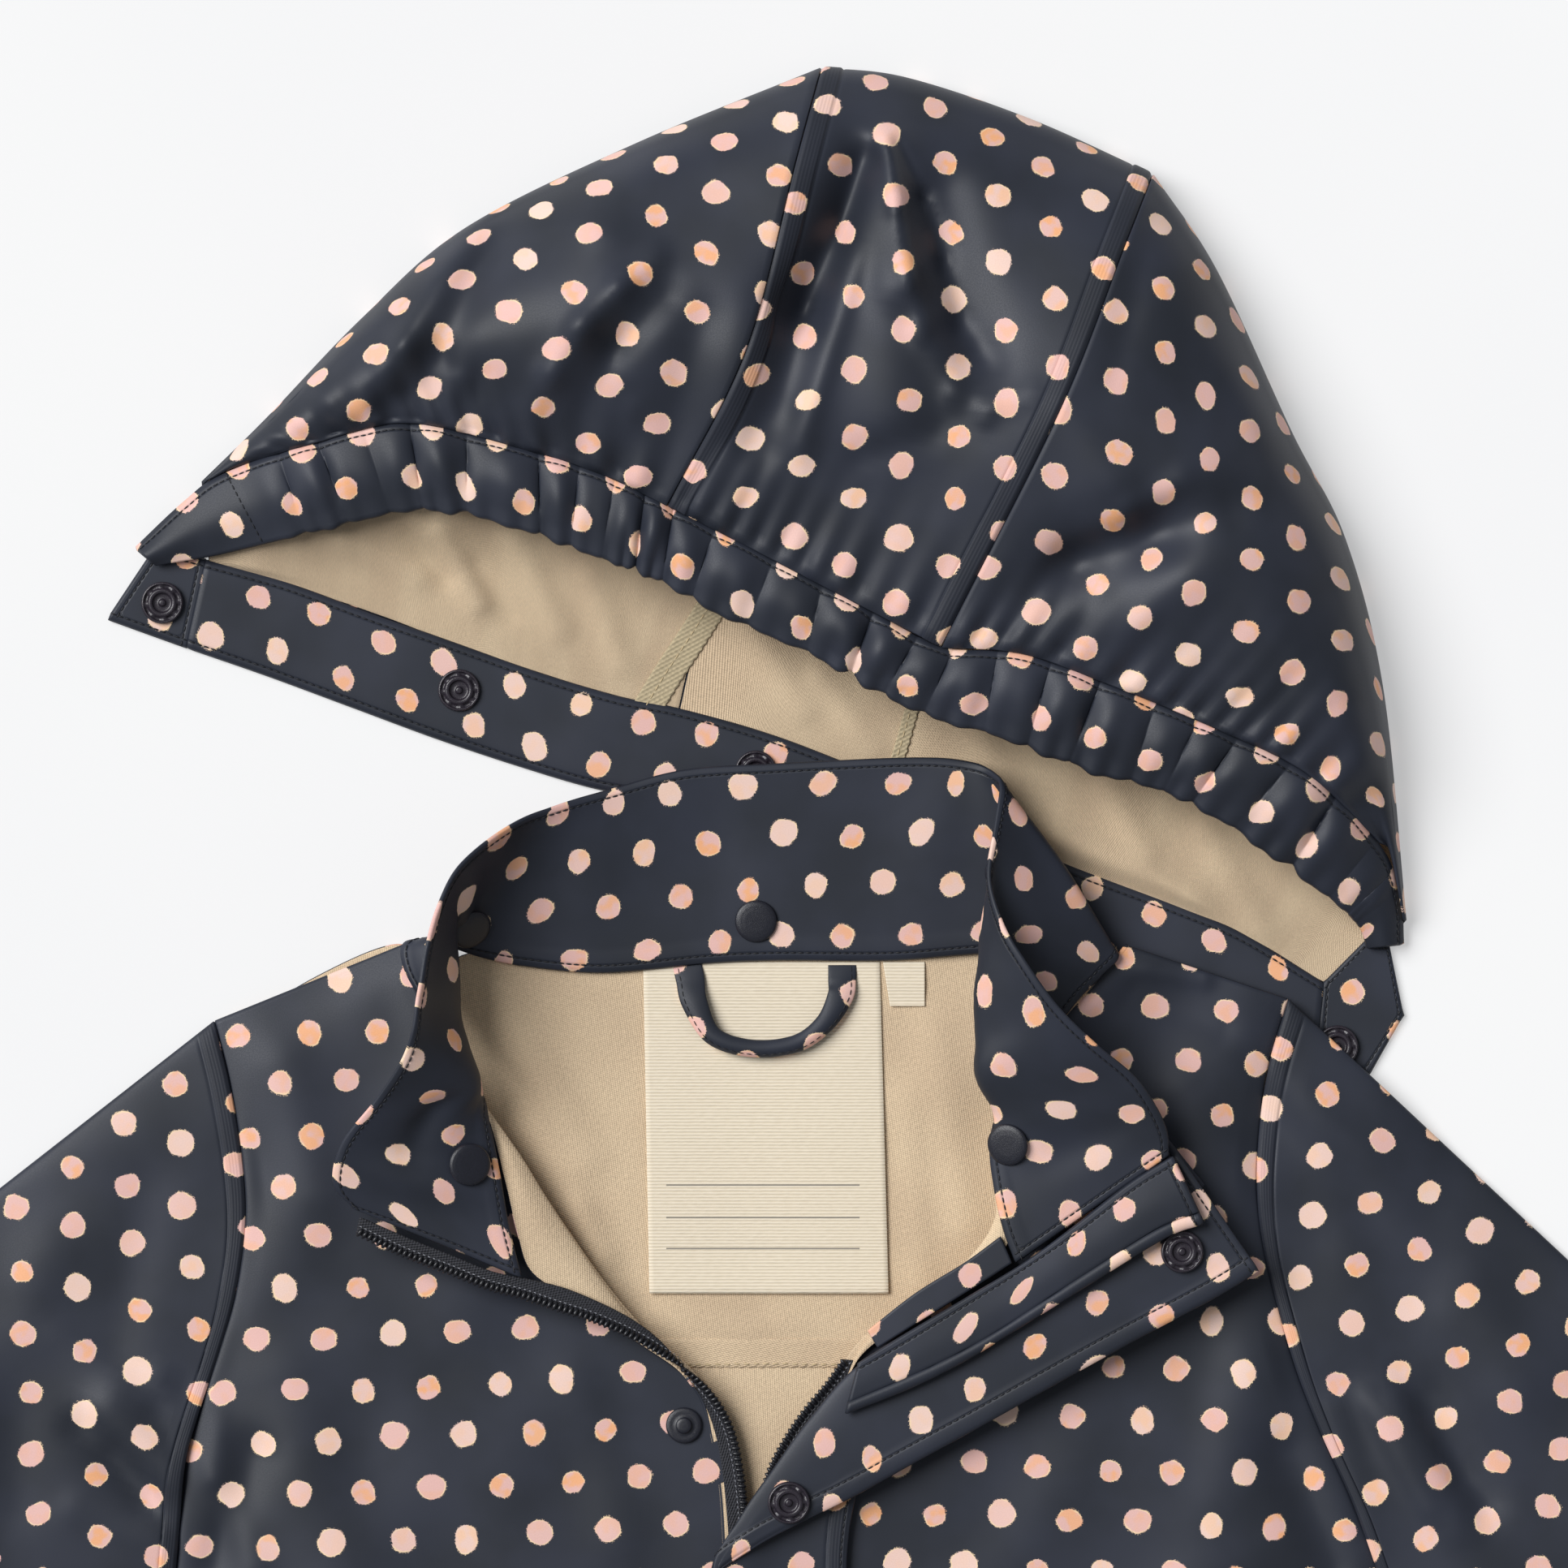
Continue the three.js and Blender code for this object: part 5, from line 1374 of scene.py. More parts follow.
def make_placket():
    """Storm flap: its long edge is turned under, in a soft ridge with a stitched row beside it."""
    grid = grid_of(placket_surface(), dense_start(96, 0.16, 30), even(240))
    from_edge = run_along(grid[:, ::-1], 1)[:, ::-1]
    ridge = FLAP_RIDGE * between(from_edge, 0.4, FLAP_STITCH_INSET - 0.6, 1.2)
    grid = grid - grid_normals(grid) * ridge[..., None]
    run = run_along(grid, 1)
    closed = smooth_step((FLAP_CLOSED_Y - grid[..., 1]) / 8)
    grid = grid + grid_normals(grid) * (closed * weld(run))[..., None]
    rows = [("last column", FLAP_STITCH_INSET), ("first row", 2.2), ("first column", 2.0)]
    fields = {"weld": closed * weld_mask(run), "seam_run": run}
    cut = on_cut(strip_cut(grid, 70), 3, (6, 4))
    dress("placket", grid, CLOTH, BOTH_COATED, cut,
          name="storm_flap_cloth", fields=fields, stitched=rows)
    topstitching_both("flap_stitching", grid, CLOTH, rows)


# Zip guard and neck facing
GUARD = table("seam_x seam_y seam_z edge_x edge_y edge_z", [
    [123.5, -119, 24, 133, -139.5, 24.4],
    [110, -127.5, 24, 121, -144, 24.4],
    [92, -141.5, 23.4, 95, -160, 23.2],
    [76, -153, 22.6, 70, -175.5, 22.2],
    [58, -164, 22.2, 56, -184, 21.6],
    [38, -176, 21.4, 40, -192, 20.6],
    [24, -184.5, 20.6, 20, -200, 19.6],
])
FACING = table("roll_x roll_y seam_x seam_y z", [
    [69, -144.5, 72.5, -152.6, 17.4],
    [58, -152.6, 62, -159.4, 16.9],
    [42, -162.6, 46, -169.4, 15.9],
    [27, -174.4, 30, -179.6, 14.4],
])


def make_guard():
    """Double zip guard with a rounded free edge and a groove beside it."""
    seam = columns(GUARD, "seam_x", "seam_y", "seam_z")
    edge = columns(GUARD, "edge_x", "edge_y", "edge_z")
    middle = (seam + edge) / 2
    middle[:, 2] = edge[:, 2] + 0.9
    grid = grid_of(skin(np.stack([seam, middle, edge], axis=1)), even(44), even(130))
    from_edge = run_along(grid[:, ::-1], 1)[:, ::-1]
    normals = grid_normals(grid)
    sign = np.sign(normals[..., 2].mean())
    groove = 0.35 * np.exp(-(((from_edge - 3.2) / 0.6) ** 2))
    swell = 0.7 * between(from_edge, 0.0, 2.2, 1.0) - groove
    grid = grid + normals * (sign * swell)[..., None]
    cut = on_cut(strip_cut(grid, 22), 4, (3, 7))
    rows = [("first column", 2.0), ("first row", 2.0)]
    dress("zip_guard", grid, DOUBLE_CLOTH, BOTH_COATED, cut, stitched=rows)
    topstitching("guard_stitching", grid, DOUBLE_CLOTH, sign, rows)


def make_facing():
    """Short facing strip beside the zip guard's seam, a little lower along its roll."""
    roll = columns(FACING, "roll_x", "roll_y", "z") - [0, 0, 0.2]
    net = np.stack([roll, columns(FACING, "seam_x", "seam_y", "z")], axis=1)
    strip = grid_of(skin(net), even(14), even(60))
    cut = on_cut(strip_cut(strip, 0), 20, (8, 2))
    dress("neck_facing", strip, TAPE_CLOTH, BOTH_COATED, cut)


# Zip, from the neck down
TAPE_COLUMNS = "sewn_x sewn_y sewn_z teeth_x teeth_y teeth_z"
LEFT_TAPE = table(TAPE_COLUMNS, [
    [-135, -138.2, 19.2, -136, -143, 18.2],
    [-120, -144.8, 18.8, -121.6, -149.8, 17.6],
    [-106, -150.4, 18.2, -107, -155.4, 17],
    [-93, -155.6, 17.6, -94.6, -160.4, 16.6],
    [-82, -158, 16.4, -83, -163.6, 16.4],
    [-70, -161, 15.8, -72, -167.4, 16],
    [-58, -166, 15, -61, -171, 15.4],
    [-47, -172, 13.6, -49.6, -176, 14.4],
    [-38, -179.6, 11.8, -40, -181.6, 13],
    [-28.6, -191.6, 8.8, -26.4, -190.8, 10],
    [-22.6, -204.6, 6.6, -17.6, -203.6, 6.8],
    [-19.6, -220, 6, -13.6, -219, 6.2],
    [-17.8, -240, 5.8, -11.6, -240, 6],
    [-16.8, -262, 5.7, -11, -262, 5.8],
    [-16.6, -400, 5.6, -11, -400, 5.7],
    [-16.6, -548, 5.6, -11, -548, 5.7],
])
RIGHT_TAPE = table(TAPE_COLUMNS, [
    [23.8, -184.6, 8.6, 19, -184, 9],
    [18, -192.6, 7.8, 13.4, -192, 8.2],
    [11.6, -201, 7, 6.4, -200.4, 7.4],
    [6, -209.6, 6.5, 0.6, -209, 6.8],
    [0.6, -219, 6.1, -4.6, -219, 6.4],
    [-3, -232, 5.9, -8.4, -232, 6.1],
    [-5, -246, 5.8, -10.4, -246, 5.9],
    [-5.4, -264, 5.7, -10.6, -264, 5.8],
    [-5.4, -400, 5.6, -10.6, -400, 5.7],
    [-5.4, -548, 5.6, -10.6, -548, 5.7],
])
TOOTH_PITCH = 1.75
TOOTH = (3.3, 1.5, 1.7)
TOOTH_TURN = math.radians(78)
ZIP_SEWING_PITCH = 1.7
ZIP_SEWING = (1.0, 0.3, 0.25)


def make_zip_side(side, rows):
    """Woven tape with coil teeth along its free edge and the pale sewing row beside them."""
    net = columns(rows, *TAPE_COLUMNS.split()).reshape(-1, 2, 3)
    grid = grid_of(skin(net), even(10), even(260))
    cut = on_cut(strip_cut(grid, 0), 0)
    dress(f"zip_tape_{side}", grid, TAPE_CLOTH, (TAPE, TAPE), cut)
    normals = grid_normals(grid)
    ups = normals * np.where(normals[..., 2:] < 0, -1, 1)
    teeth = [inset_line(grid, ups, "last column", 0.6, 0.55)]
    beads(f"zip_teeth_{side}", teeth, TOOTH_PITCH, TOOTH, TEETH, turn=TOOTH_TURN, around=8)
    sewing = [inset_line(grid, ups, "last column", 2.5, TAPE_CLOTH / 2 + 0.1)]
    beads(f"zip_sewing_{side}", sewing, ZIP_SEWING_PITCH, ZIP_SEWING, PALE_THREAD,
          around=5, along=3)


# Hood panels, each from its left seam to its right seam
HOOD_COLUMNS = "front_x front_y front_z dome_x dome_y dome_z out_x out_y nape_x nape_y"
HOOD_LEFT = table(HOOD_COLUMNS, [
    [-178, 101, 8.6, -181.6, 98.6, 8, -186, 96, -184, 72.6],
    [-150, 108.6, 19, -157, 112.6, 20, -165, 116.6, -158, 65.4],
    [-120, 115, 24, -127, 131, 33, -135, 148, -126, 54.6],
    [-84, 107, 27, -92, 141, 43, -102, 177, -94, 42],
    [-58, 98.6, 28.6, -50, 146, 47, -48, 204, -62, 31.6],
    [-37.3, 88.6, 30, -12.4, 137, 49, 11.6, 228.6, -33.6, 25],
])
HOOD_CENTRE = table(HOOD_COLUMNS, [
    [-36.7, 88.4, 30, -11.7, 136.6, 49, 12.4, 228.8, -33, 24.9],
    [-12, 75.8, 31, 12, 128, 45, 39, 225.6, -10, 18.6],
    [19, 59.6, 32, 48, 122, 44, 78, 212.6, 12, 11.4],
    [49.6, 43.8, 33, 86.6, 117.6, 50, 117.4, 194.8, 33.4, 2],
])
HOOD_RIGHT = table(HOOD_COLUMNS, [
    [50.2, 43.5, 33, 87.2, 117.2, 50, 118, 194.4, 34, 1.7],
    [76, 41.4, 34, 112, 95, 50, 138, 164, 58, -10],
    [105, 31, 34, 136, 71, 49, 162, 112, 84, -22.6],
    [137, 17.8, 33, 159, 44, 43, 179, 78, 108, -31.6],
    [166, 3.6, 30, 178, 17, 33, 191, 30, 134, -41.6],
    [190, -18.4, 15.4, 194, -22, 11.4, 198.4, -44, 178, -64],
])
OUTLINE_Z = 4.4
OUTLINE_U = 4 / 8
# Knots between dome and outline: share of the way, and share of the dome's height above the outline
SHOULDER_KNOTS = ((0.66, 0.72), (0.94, 0.34))
UNDER_START = 6
UNDER_REACH = 26
UNDER_SHARE = 0.4


def hood_net(rows):
    """Knots of a hood panel: casing line, dome, shoulder, outline, then back under to the neckband."""
    casing = columns(rows, "front_x", "front_y", "front_z")
    dome = columns(rows, "dome_x", "dome_y", "dome_z")
    outline = np.stack([rows["out_x"], rows["out_y"], np.full_like(rows["out_x"], OUTLINE_Z)], axis=-1)
    nape = np.stack([rows["nape_x"], rows["nape_y"], np.full_like(rows["nape_x"], FLOOR_LAYER)], axis=-1)
    inward = nape - outline
    rest = np.minimum(UNDER_REACH, UNDER_SHARE * np.linalg.norm(inward, axis=-1))[:, None]
    inward[:, 2] = 0
    shoulder = [
        at_height(mix(dome, outline, way), mix(OUTLINE_Z, dome[:, 2], kept)) for way, kept in SHOULDER_KNOTS
    ]
    return np.stack([
        casing,
        dome,
        *shoulder,
        outline,
        at_height(outline + unit(inward) * UNDER_START, FLOOR_LAYER),
        at_height(outline + unit(inward) * rest, FLOOR_LAYER),
        at_height(mix(outline, nape, 0.5), FLOOR_LAYER),
        nape,
    ], axis=1)


HOOD_GATHER = 1.9
HOOD_GATHER_REACH = 12
GATHERED_X = (-168, 176)


def gather_wave(x):
    """Uneven wave along the casing's line, by x: sines of about 9 and 23 mm whose phases wander."""
    wander = 1.6 * np.sin(x / 21) + 1.1 * np.sin(x / 12.3 + 1)
    short = 0.6 * np.sin(x * 2 * math.pi / 8.7 + wander)
    long = 0.7 * np.sin(x * 2 * math.pi / 23 - wander)
    return between(x, *GATHERED_X, 20) * (short + long)


# Places across a hood panel: dense on its upper layer and at its nape, wide apart between them
UPPER_SHARE = 0.6
NAPE_SHARE = 0.86
HOOD_ACROSS = np.concatenate([
    np.linspace(0, UPPER_SHARE, 96, endpoint=False),
    np.linspace(UPPER_SHARE, NAPE_SHARE, 10, endpoint=False),
    np.linspace(NAPE_SHARE, 1, 56),
])
HOOD_FOLDED_SHARE = 0.37
NAPE_TUCK = 1.8


def make_hood_panel(node, rows, angle, shift, taped=False):
    """Hood panel: dotted outside, twill inside, with large folds and creases on its upper layer."""
    along = dense_ends(134, 0.075, 28) if taped else even(110)
    grid = grid_of(skin(hood_net(rows)), HOOD_ACROSS, along)
    tuck = unit(grid[:, -1:] - grid[:, -4:-3]) * NAPE_TUCK
    grid = grid + tuck * smooth_step((HOOD_ACROSS - 0.9) / 0.1)[None, :, None]
    flat_cut = rolled_out(grid, 40)
    weight = between(HOOD_ACROSS, 0, HOOD_FOLDED_SHARE, 0.08)[None, :]
    grid = pressed(grid, weight, LARGE_FOLDS, HOOD_CREASES, rippled=1.3)
    from_line = run_along(grid, 1)
    pulled = HOOD_GATHER * np.exp(-from_line / HOOD_GATHER_REACH) * (HOOD_ACROSS < 0.3)
    grid[..., 2] += pulled * gather_wave(grid[:, :1, 0]) * smooth_step(from_line / 2.0)
    lower = between(HOOD_ACROSS, NAPE_SHARE, 0.985, 0.015)[None, :]
    grid = pressed(grid, lower, NAPE_CREASES, rippled=0.0)
    fields = None
    if taped:
        run = np.minimum(run_along(grid, 0), run_along(grid[::-1], 0)[::-1])
        top = (HOOD_ACROSS < OUTLINE_U + 0.02)[None, :]
        fields = {"weld": top * between(run, 0.3, WELD_WIDTH, 0.5), "seam_run": run}
        raised = top * (weld(run) - SEAM_DIP * np.exp(-run / 0.9))
        grid = grid - grid_normals(grid) * raised[..., None]
    cut = on_cut(flat_cut, angle, shift)
    dress(node, grid, CLOTH, (LINING, COATED), cut, fields=fields)


# Casing round the hood's mouth, from left to right
CASING = table("line_x line_y line_z mouth_x mouth_y mouth_z gathered", [
    [-206.4, 75, 4.4, -201, 70.4, 4.4, 0],
    [-191.4, 89, 6, -183, 73.4, 5.6, 0],
    [-178.4, 98, 9, -167, 77, 9.6, 0],
    [-150, 107.4, 18.6, -142, 83, 17, 0.9],
    [-120, 113.6, 23.6, -114, 88, 21, 1],
    [-85, 106, 26.6, -86, 82.6, 24, 1],
    [-58, 97.4, 28.4, -60, 73, 25.6, 1],
    [-37.4, 87.2, 29.6, -42, 66.6, 26.6, 1],
    [-12, 74.6, 30.6, -18, 53.6, 27.4, 1],
    [18.6, 58.6, 31.4, 12, 40.4, 28, 1],
    [49, 42.6, 32.4, 41, 24.4, 28.6, 1],
    [75.4, 40.2, 33.4, 69, 15.4, 29, 1],
    [104.4, 29.8, 33.4, 97, 5, 28.6, 1],
    [136, 16.8, 32.4, 124, -3, 27, 1],
    [165.4, 2.4, 29.4, 150, -18, 23.4, 1],
    [188.6, -19.8, 15.4, 175, -36.4, 14.6, 0.7],
    [195.6, -36, 8.4, 184, -45, 7.6, 0],
    [197, -51, 3.9, 187, -52, 3.9, 0],
])
CASING_CLOTH = 1.8
CASING_CROWN = 2.4
CASING_LOBES = 0.72 * GATHERS
CASING_RUFFLES = 1.3 * GATHERS
GATHER_DEPTH = 2.2
CASING_TUCK = 1.0
CASING_STITCH_INSET = 2.4
CASING_END_V = 0.12


def swing(v, turns, phase=0.0):
    """Sine with a number of turns along the casing."""
    return np.sin(2 * math.pi * turns * v + phase)


def casing_grid(across, along):
    """Gathered casing: a smooth band with lobes along the elastic and finer ruffles at the mouth.

    A lobe is 2 |sin|^0.8 - 1 of a phase that drifts along the band. It lifts the cloth and moves its edge.
    """
    line = columns(CASING, "line_x", "line_y", "line_z")
    mouth = columns(CASING, "mouth_x", "mouth_y", "mouth_z")
    middle = (line + mouth) / 2
    middle[:, 2] += CASING_CROWN
    grid = grid_of(skin(np.stack([line, middle, mouth], axis=1)), across, along)
    u, v = np.asarray(across)[None, :], np.asarray(along)[:, None]
    gathered = np.maximum(0, curve(CASING["gathered"][:, None], along))
    drift = 0.17 * swing(v, 5.3) + 0.07 * swing(v, 11.7, 1)
    lobe = math.pi * (CASING_LOBES * v + drift + 0.16 * u * swing(v, 9.1))
    ruffle = 2 * math.pi * (CASING_RUFFLES * v + drift)
    uneven = 0.8 + 0.3 * swing(v, 7.1, 2) + 0.25 * swing(v, 13.3)
    swell = 0.85 * np.sin(math.pi * np.minimum(1, u * 1.1 + 0.12)) + 0.2 * u
    wave = 2 * np.abs(np.sin(lobe)) ** 0.8 - 1
    grid[..., 2] += GATHER_DEPTH * gathered * uneven * (swell * wave + 0.22 * u * np.sin(ruffle))
    pull = unit(grid[:, -1:] - grid[:, :1])
    edge = u**3 * gathered * uneven * (0.9 * wave + 0.35 * np.sin(ruffle))
    return grid + pull * edge[..., None]


def make_casing():
    """Casing round the face with its stitched line and the short stitched end at the left."""
    across, along = even(22), even(860)
    grid = casing_grid(across, along)
    from_line = run_along(grid, 1)
    outward = unit(grid[:, :1] - grid[:, 2:3])
    tuck = np.exp(-from_line / 1.2)
    grid = grid + outward * (CASING_TUCK * tuck)[..., None]
    grid[..., 2] -= 0.9 * tuck
    cut = on_cut(strip_cut(grid, 4), 0, (2, 5))
    rows = [("first column", CASING_STITCH_INSET)]
    dress("hood_casing", grid, CASING_CLOTH, BOTH_COATED, cut, stitched=rows)
    ups = grid_normals(grid)
    lift = CASING_CLOTH / 2 + STITCH_LIFT
    lines = [inset_line(grid, ups, "first column", CASING_STITCH_INSET, lift)]
    end_row = int(round(CASING_END_V * (len(along) - 1)))
    lines.append((grid[end_row] + ups[end_row] * lift, ups[end_row]))
    beads("casing_stitching", lines, STITCH_PITCH, STITCH, NAVY_THREAD)


# Neckband of the hood and its tabs, from left to right
BAND_COLUMNS = "top_x top_y low_x low_y"
BAND = table(BAND_COLUMNS, [
    [-185, 71.4, -191, 44],
    [-159, 64, -165, 35],
    [-132, 54, -138, 25],
    [-106, 45, -111, 15],
    [-79, 35.4, -84, 6],
    [-53, 27.6, -60, -1],
    [-33, 23.6, -38, -5],
    [-2, 14.6, -9, -12.4],
    [33, 0.6, 23, -24],
    [58, -11.4, 48, -36],
    [89, -25.6, 79, -50],
    [127, -40, 118, -65],
    [147, -48.4, 140, -75],
    [172.6, -64, 170, -88],
])
TABS = {
    "hood_tab_left": table(BAND_COLUMNS, [
        [-185.3, 71.5, -191.3, 44.1],
        [-201, 75.6, -216, 53],
    ]),
    "hood_tab_right": table(BAND_COLUMNS, [
        [173, -63.8, 170.4, -88.2],
        [186, -50.6, 177, -90.4],
        [193.5, -51, 183, -92.2],
        [198, -74, 186.6, -93.5],
    ]),
}
BAND_Z = DOUBLE_CLOTH / 2 + 0.05
BAND_STITCH_INSET = 2.0
BAND_SWELL = 0.5
TAB_STITCH_INSET = 1.8


def make_neckband():
    """Neckband of the hood, stitched along both edges."""
    net = flat_net(columns(BAND, *BAND_COLUMNS.split()).reshape(-1, 2, 2), BAND_Z)
    grid = grid_of(skin(net), even(22), even(200))
    from_edge = np.minimum(run_along(grid, 1), run_along(grid[:, ::-1], 1)[:, ::-1])
    unevenness = 0.2 * ripple(grid[..., 0] * 1.6, grid[..., 1] * 1.6)
    grid[..., 2] += BAND_SWELL * smooth_step(from_edge / 3.4) + unevenness
    cut = on_cut(strip_cut(grid, 10), 0, (4, 8))
    rows = [("first column", BAND_STITCH_INSET), ("last column", BAND_STITCH_INSET)]
    dress("hood_neckband", grid, DOUBLE_CLOTH, BOTH_COATED, cut, stitched=rows)
    topstitching("neckband_stitching", grid, DOUBLE_CLOTH, 1, rows)


def make_tabs():
    """A square tab at each end of the neckband, stitched all round."""
    rows = [(edge, TAB_STITCH_INSET) for edge in EDGES]
    for name, corners in TABS.items():
        sides = columns(corners, *BAND_COLUMNS.split())
        line = np.stack([np.interp(even(46), even(len(sides)), side) for side in sides.T], axis=-1)
        top, low = line[:, None, :2], line[:, None, 2:]
        tab = flat_net(mix(top, low, even(16)[None, :, None]), BAND_Z)
        up = np.sign(grid_normals(tab)[..., 2].mean())
        cut = on_cut(tab[..., :2], 12, (9, 4))
        dress(name, tab, DOUBLE_CLOTH, BOTH_COATED, cut, stitched=rows)
        topstitching(f"{name}_stitching", tab, DOUBLE_CLOTH, up, rows)


# Hanging loop
LOOP = table("x y z wide high", [
    [-31, -58, 1.62, 8.4, 0.35],
    [-30, -62.6, 2.6, 8.4, 1.4],
    [-28.6, -70, 4.4, 7.6, 2.4],
    [-22.6, -80.6, 5.0, 5.6, 3.8],
    [-10, -84.6, 5.0, 5.2, 4.0],
    [4, -83, 5.0, 5.2, 4.0],
    [13, -76.6, 4.9, 5.8, 3.6],
    [18, -68, 4.2, 7.6, 2.4],
    [18.6, -62.6, 2.6, 8.2, 1.4],
    [18.6, -58, 1.62, 8.2, 0.35],
])


LOOP_STITCH_PITCH = 2.6
LOOP_STITCH = (1.9, 0.35, 0.3)


def make_loop():
    """Hanging loop: an oval section carried along its path, wide and flat at its legs."""
    places, turning = even(140), np.linspace(0, 2 * math.pi, 28, endpoint=False)
    path = curve(columns(LOOP, "x", "y", "z"), places)
    size = curve(columns(LOOP, "wide", "high"), places)
    ahead = unit(np.gradient(path, axis=0))
    side = unit(np.cross(ahead, [0, 0, 1]))
    up = np.cross(side, ahead)
    lip = 1 + 0.12 * np.cos(2 * turning + 0.7)
    grid = (
        path[:, None]
        + side[:, None] * (size[:, :1] / 2 * np.cos(turning) * lip)[..., None]
        + up[:, None] * (size[:, 1:] / 2 * np.sin(turning))[..., None]
    )
    number = numbered(*grid.shape[:2])
    sides = grid_quads(numbered(*grid.shape[:2], closed=True))[:, ::-1]
    faces = [*sides.tolist(), number[0].tolist(), number[-1][::-1].tolist()]
    run = run_along(grid, 0)[:, :1]
    cut = np.stack(np.broadcast_arrays(run + 2, (turning * 2.6)[None, :]), axis=-1).reshape(-1, 2)
    thing = mesh_object("hanging_loop", grid.reshape(-1, 3), faces, cut, materials=[COATED])
    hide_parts("hanger_loop")
    seam = [(path + side * size[:, :1] * 0.36 + up * size[:, 1:] * 0.4, up)]
    beads("loop_stitching", seam, LOOP_STITCH_PITCH, LOOP_STITCH, NAVY_THREAD)


# Neck label and size tab: finish, then upper and lower corners
LABELS = {
    "neck_label": (LABEL, [[-45, -57], [30.6, -57], [-43, -163], [33.4, -163]]),
    "size_tab": (SIZE_TAB, [[31.8, -57], [45, -57], [34.0, -71], [45, -71]]),
}
LABEL_RISE = table("share height", [
    [0.0, 1.27],
    [0.08, 1.7],
    [0.5, 2.2],
    [1.0, 2.0],
])


def make_labels():
    """Ribbed neck label and size tab, tucked under the collar's seam and lying on the yoke."""
    for name, (finish, corners) in LABELS.items():
        net = flat_net(np.array(corners, float).reshape(2, 2, 2), 0.0)
        grid = grid_of(skin(net), even(50), even(70))
        down = even(70)[:, None]
        lift = np.interp(down, LABEL_RISE["share"], LABEL_RISE["height"])
        grid[..., 2] = lift + 0.12 * np.sin(grid[..., 0] / 9) * smooth_step(down * 4)
        grid[..., 2] += 0.3 * smooth_step((down - 0.9) / 0.1)
        dress(name, grid, LABEL_CLOTH, (finish, finish), grid[..., :2],
              name=f"{name}_ribbon")


# Snap fasteners: heights in millimetres over radii as shares of the diameter
CAP_PROFILE = table("radius height", [
    [0, 1.42],
    [0.12, 1.42],
    [0.26, 1.38],
    [0.38, 1.24],
    [0.44, 1.06],
    [0.48, 0.76],
    [0.498, 0.42],
    [0.5, 0],
])
SOCKET_PROFILE = table("radius height", [
    [0, 1.62],
    [0.05, 1.6],
    [0.075, 1.4],
    [0.09, 0.8],
    [0.12, 0.7],
    [0.2, 0.7],
    [0.225, 1.0],
    [0.235, 1.7],
    [0.27, 1.88],
    [0.31, 1.86],
    [0.335, 1.5],
    [0.36, 1.4],
    [0.42, 1.4],
    [0.435, 1.6],
    [0.46, 1.68],
    [0.485, 1.5],
    [0.5, 1.0],
    [0.5, 0],
])
STUD_PROFILE = table("radius height", [
    [0, 2.2],
    [0.14, 2.15],
    [0.2, 1.95],
    [0.225, 1.6],
    [0.2, 1.25],
    [0.24, 1.0],
    [0.3, 0.86],
    [0.4, 0.86],
    [0.46, 0.74],
    [0.5, 0.4],
    [0.5, 0],
])
SLOTS = {"count": 8, "inner": 0.345, "outer": 0.428, "depth": 0.6}


def snap_part(node, profile, base, axis, diameter=SNAP_DIAMETER, slotted=False):
    """Turned part: height over radius and turn, with a ring of slots pressed into a socket."""
    radii, heights = (np.interp(even(44), even(len(rows)), rows)[1:] for rows in profile.values())
    turning = np.linspace(0, 2 * math.pi, 64, endpoint=False)
    height = heights[:, None] * np.ones_like(turning)
    if slotted:
        ring = between(radii, SLOTS["inner"], SLOTS["outer"], 0.012)[:, None]
        slots = smooth_step((np.cos(SLOTS["count"] * turning) + 0.25) / 0.3)
        height = height - SLOTS["depth"] * ring * slots
    axis = unit(np.asarray(axis, float))
    first = unit(np.cross(axis, [0.3, 1.0, 0.2]))
    second = np.cross(axis, first)
    outward = np.cos(turning)[:, None] * first + np.sin(turning)[:, None] * second
    grid = base + radii[:, None, None] * diameter * outward + height[..., None] * axis
    number = numbered(*grid.shape[:2], closed=True)
    inner, outer = number[0], number[-1][:-1]
    top = np.stack([np.full(len(turning), height.size), inner[:-1], inner[1:]], axis=-1)
    faces = [*grid_quads(number)[:, FROM_BEHIND].tolist(), *top.tolist(), outer[::-1].tolist()]
    points = np.concatenate([grid.reshape(-1, 3), [base + axis * profile["height"][0]]])
    thing = mesh_object(f"{node}_snap", points, faces, materials=[SOCKET if slotted else SNAP])
    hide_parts(node)


COLLAR_SNAPS = table("u v gap", [
    [0.19, 0.074, 1.5],
    [0.3, 0.344, 2.2],
    [0.2, 0.492, 0.5],
    [0.45, 0.588, 0.9],
    [0.2, 0.905, 0.6],
])
BAND_SNAPS = [(-199, 58), (-104, 30), (-9, 4), (84, -37), (177.1, -84)]
FLAP_SOCKETS = [(0.86, 0.075), (0.86, 0.54)]
FLAP_CAPS = [(0.82, 0.868), (0.82, 0.955)]
FRONT_STUD = (-32, -205, 7.1)
STUD_SHARE = 0.85
COLLAR_REACH = 0.75
CAP_SUNK = 0.15
BAND_TOP_Z = 2.3
FLAP_SOCKET_RISE = 1.0
FLAP_CAP_RISE = 0.9


def on_surface(surface, u, v):
    """Place on a surface and its unit normal there."""
    step = 0.002
    across = surface(u + step, v) - surface(u - step, v)
    down = surface(u, min(1, v + step)) - surface(u, max(0, v - step))
    return surface(u, v), unit(np.cross(across, down))


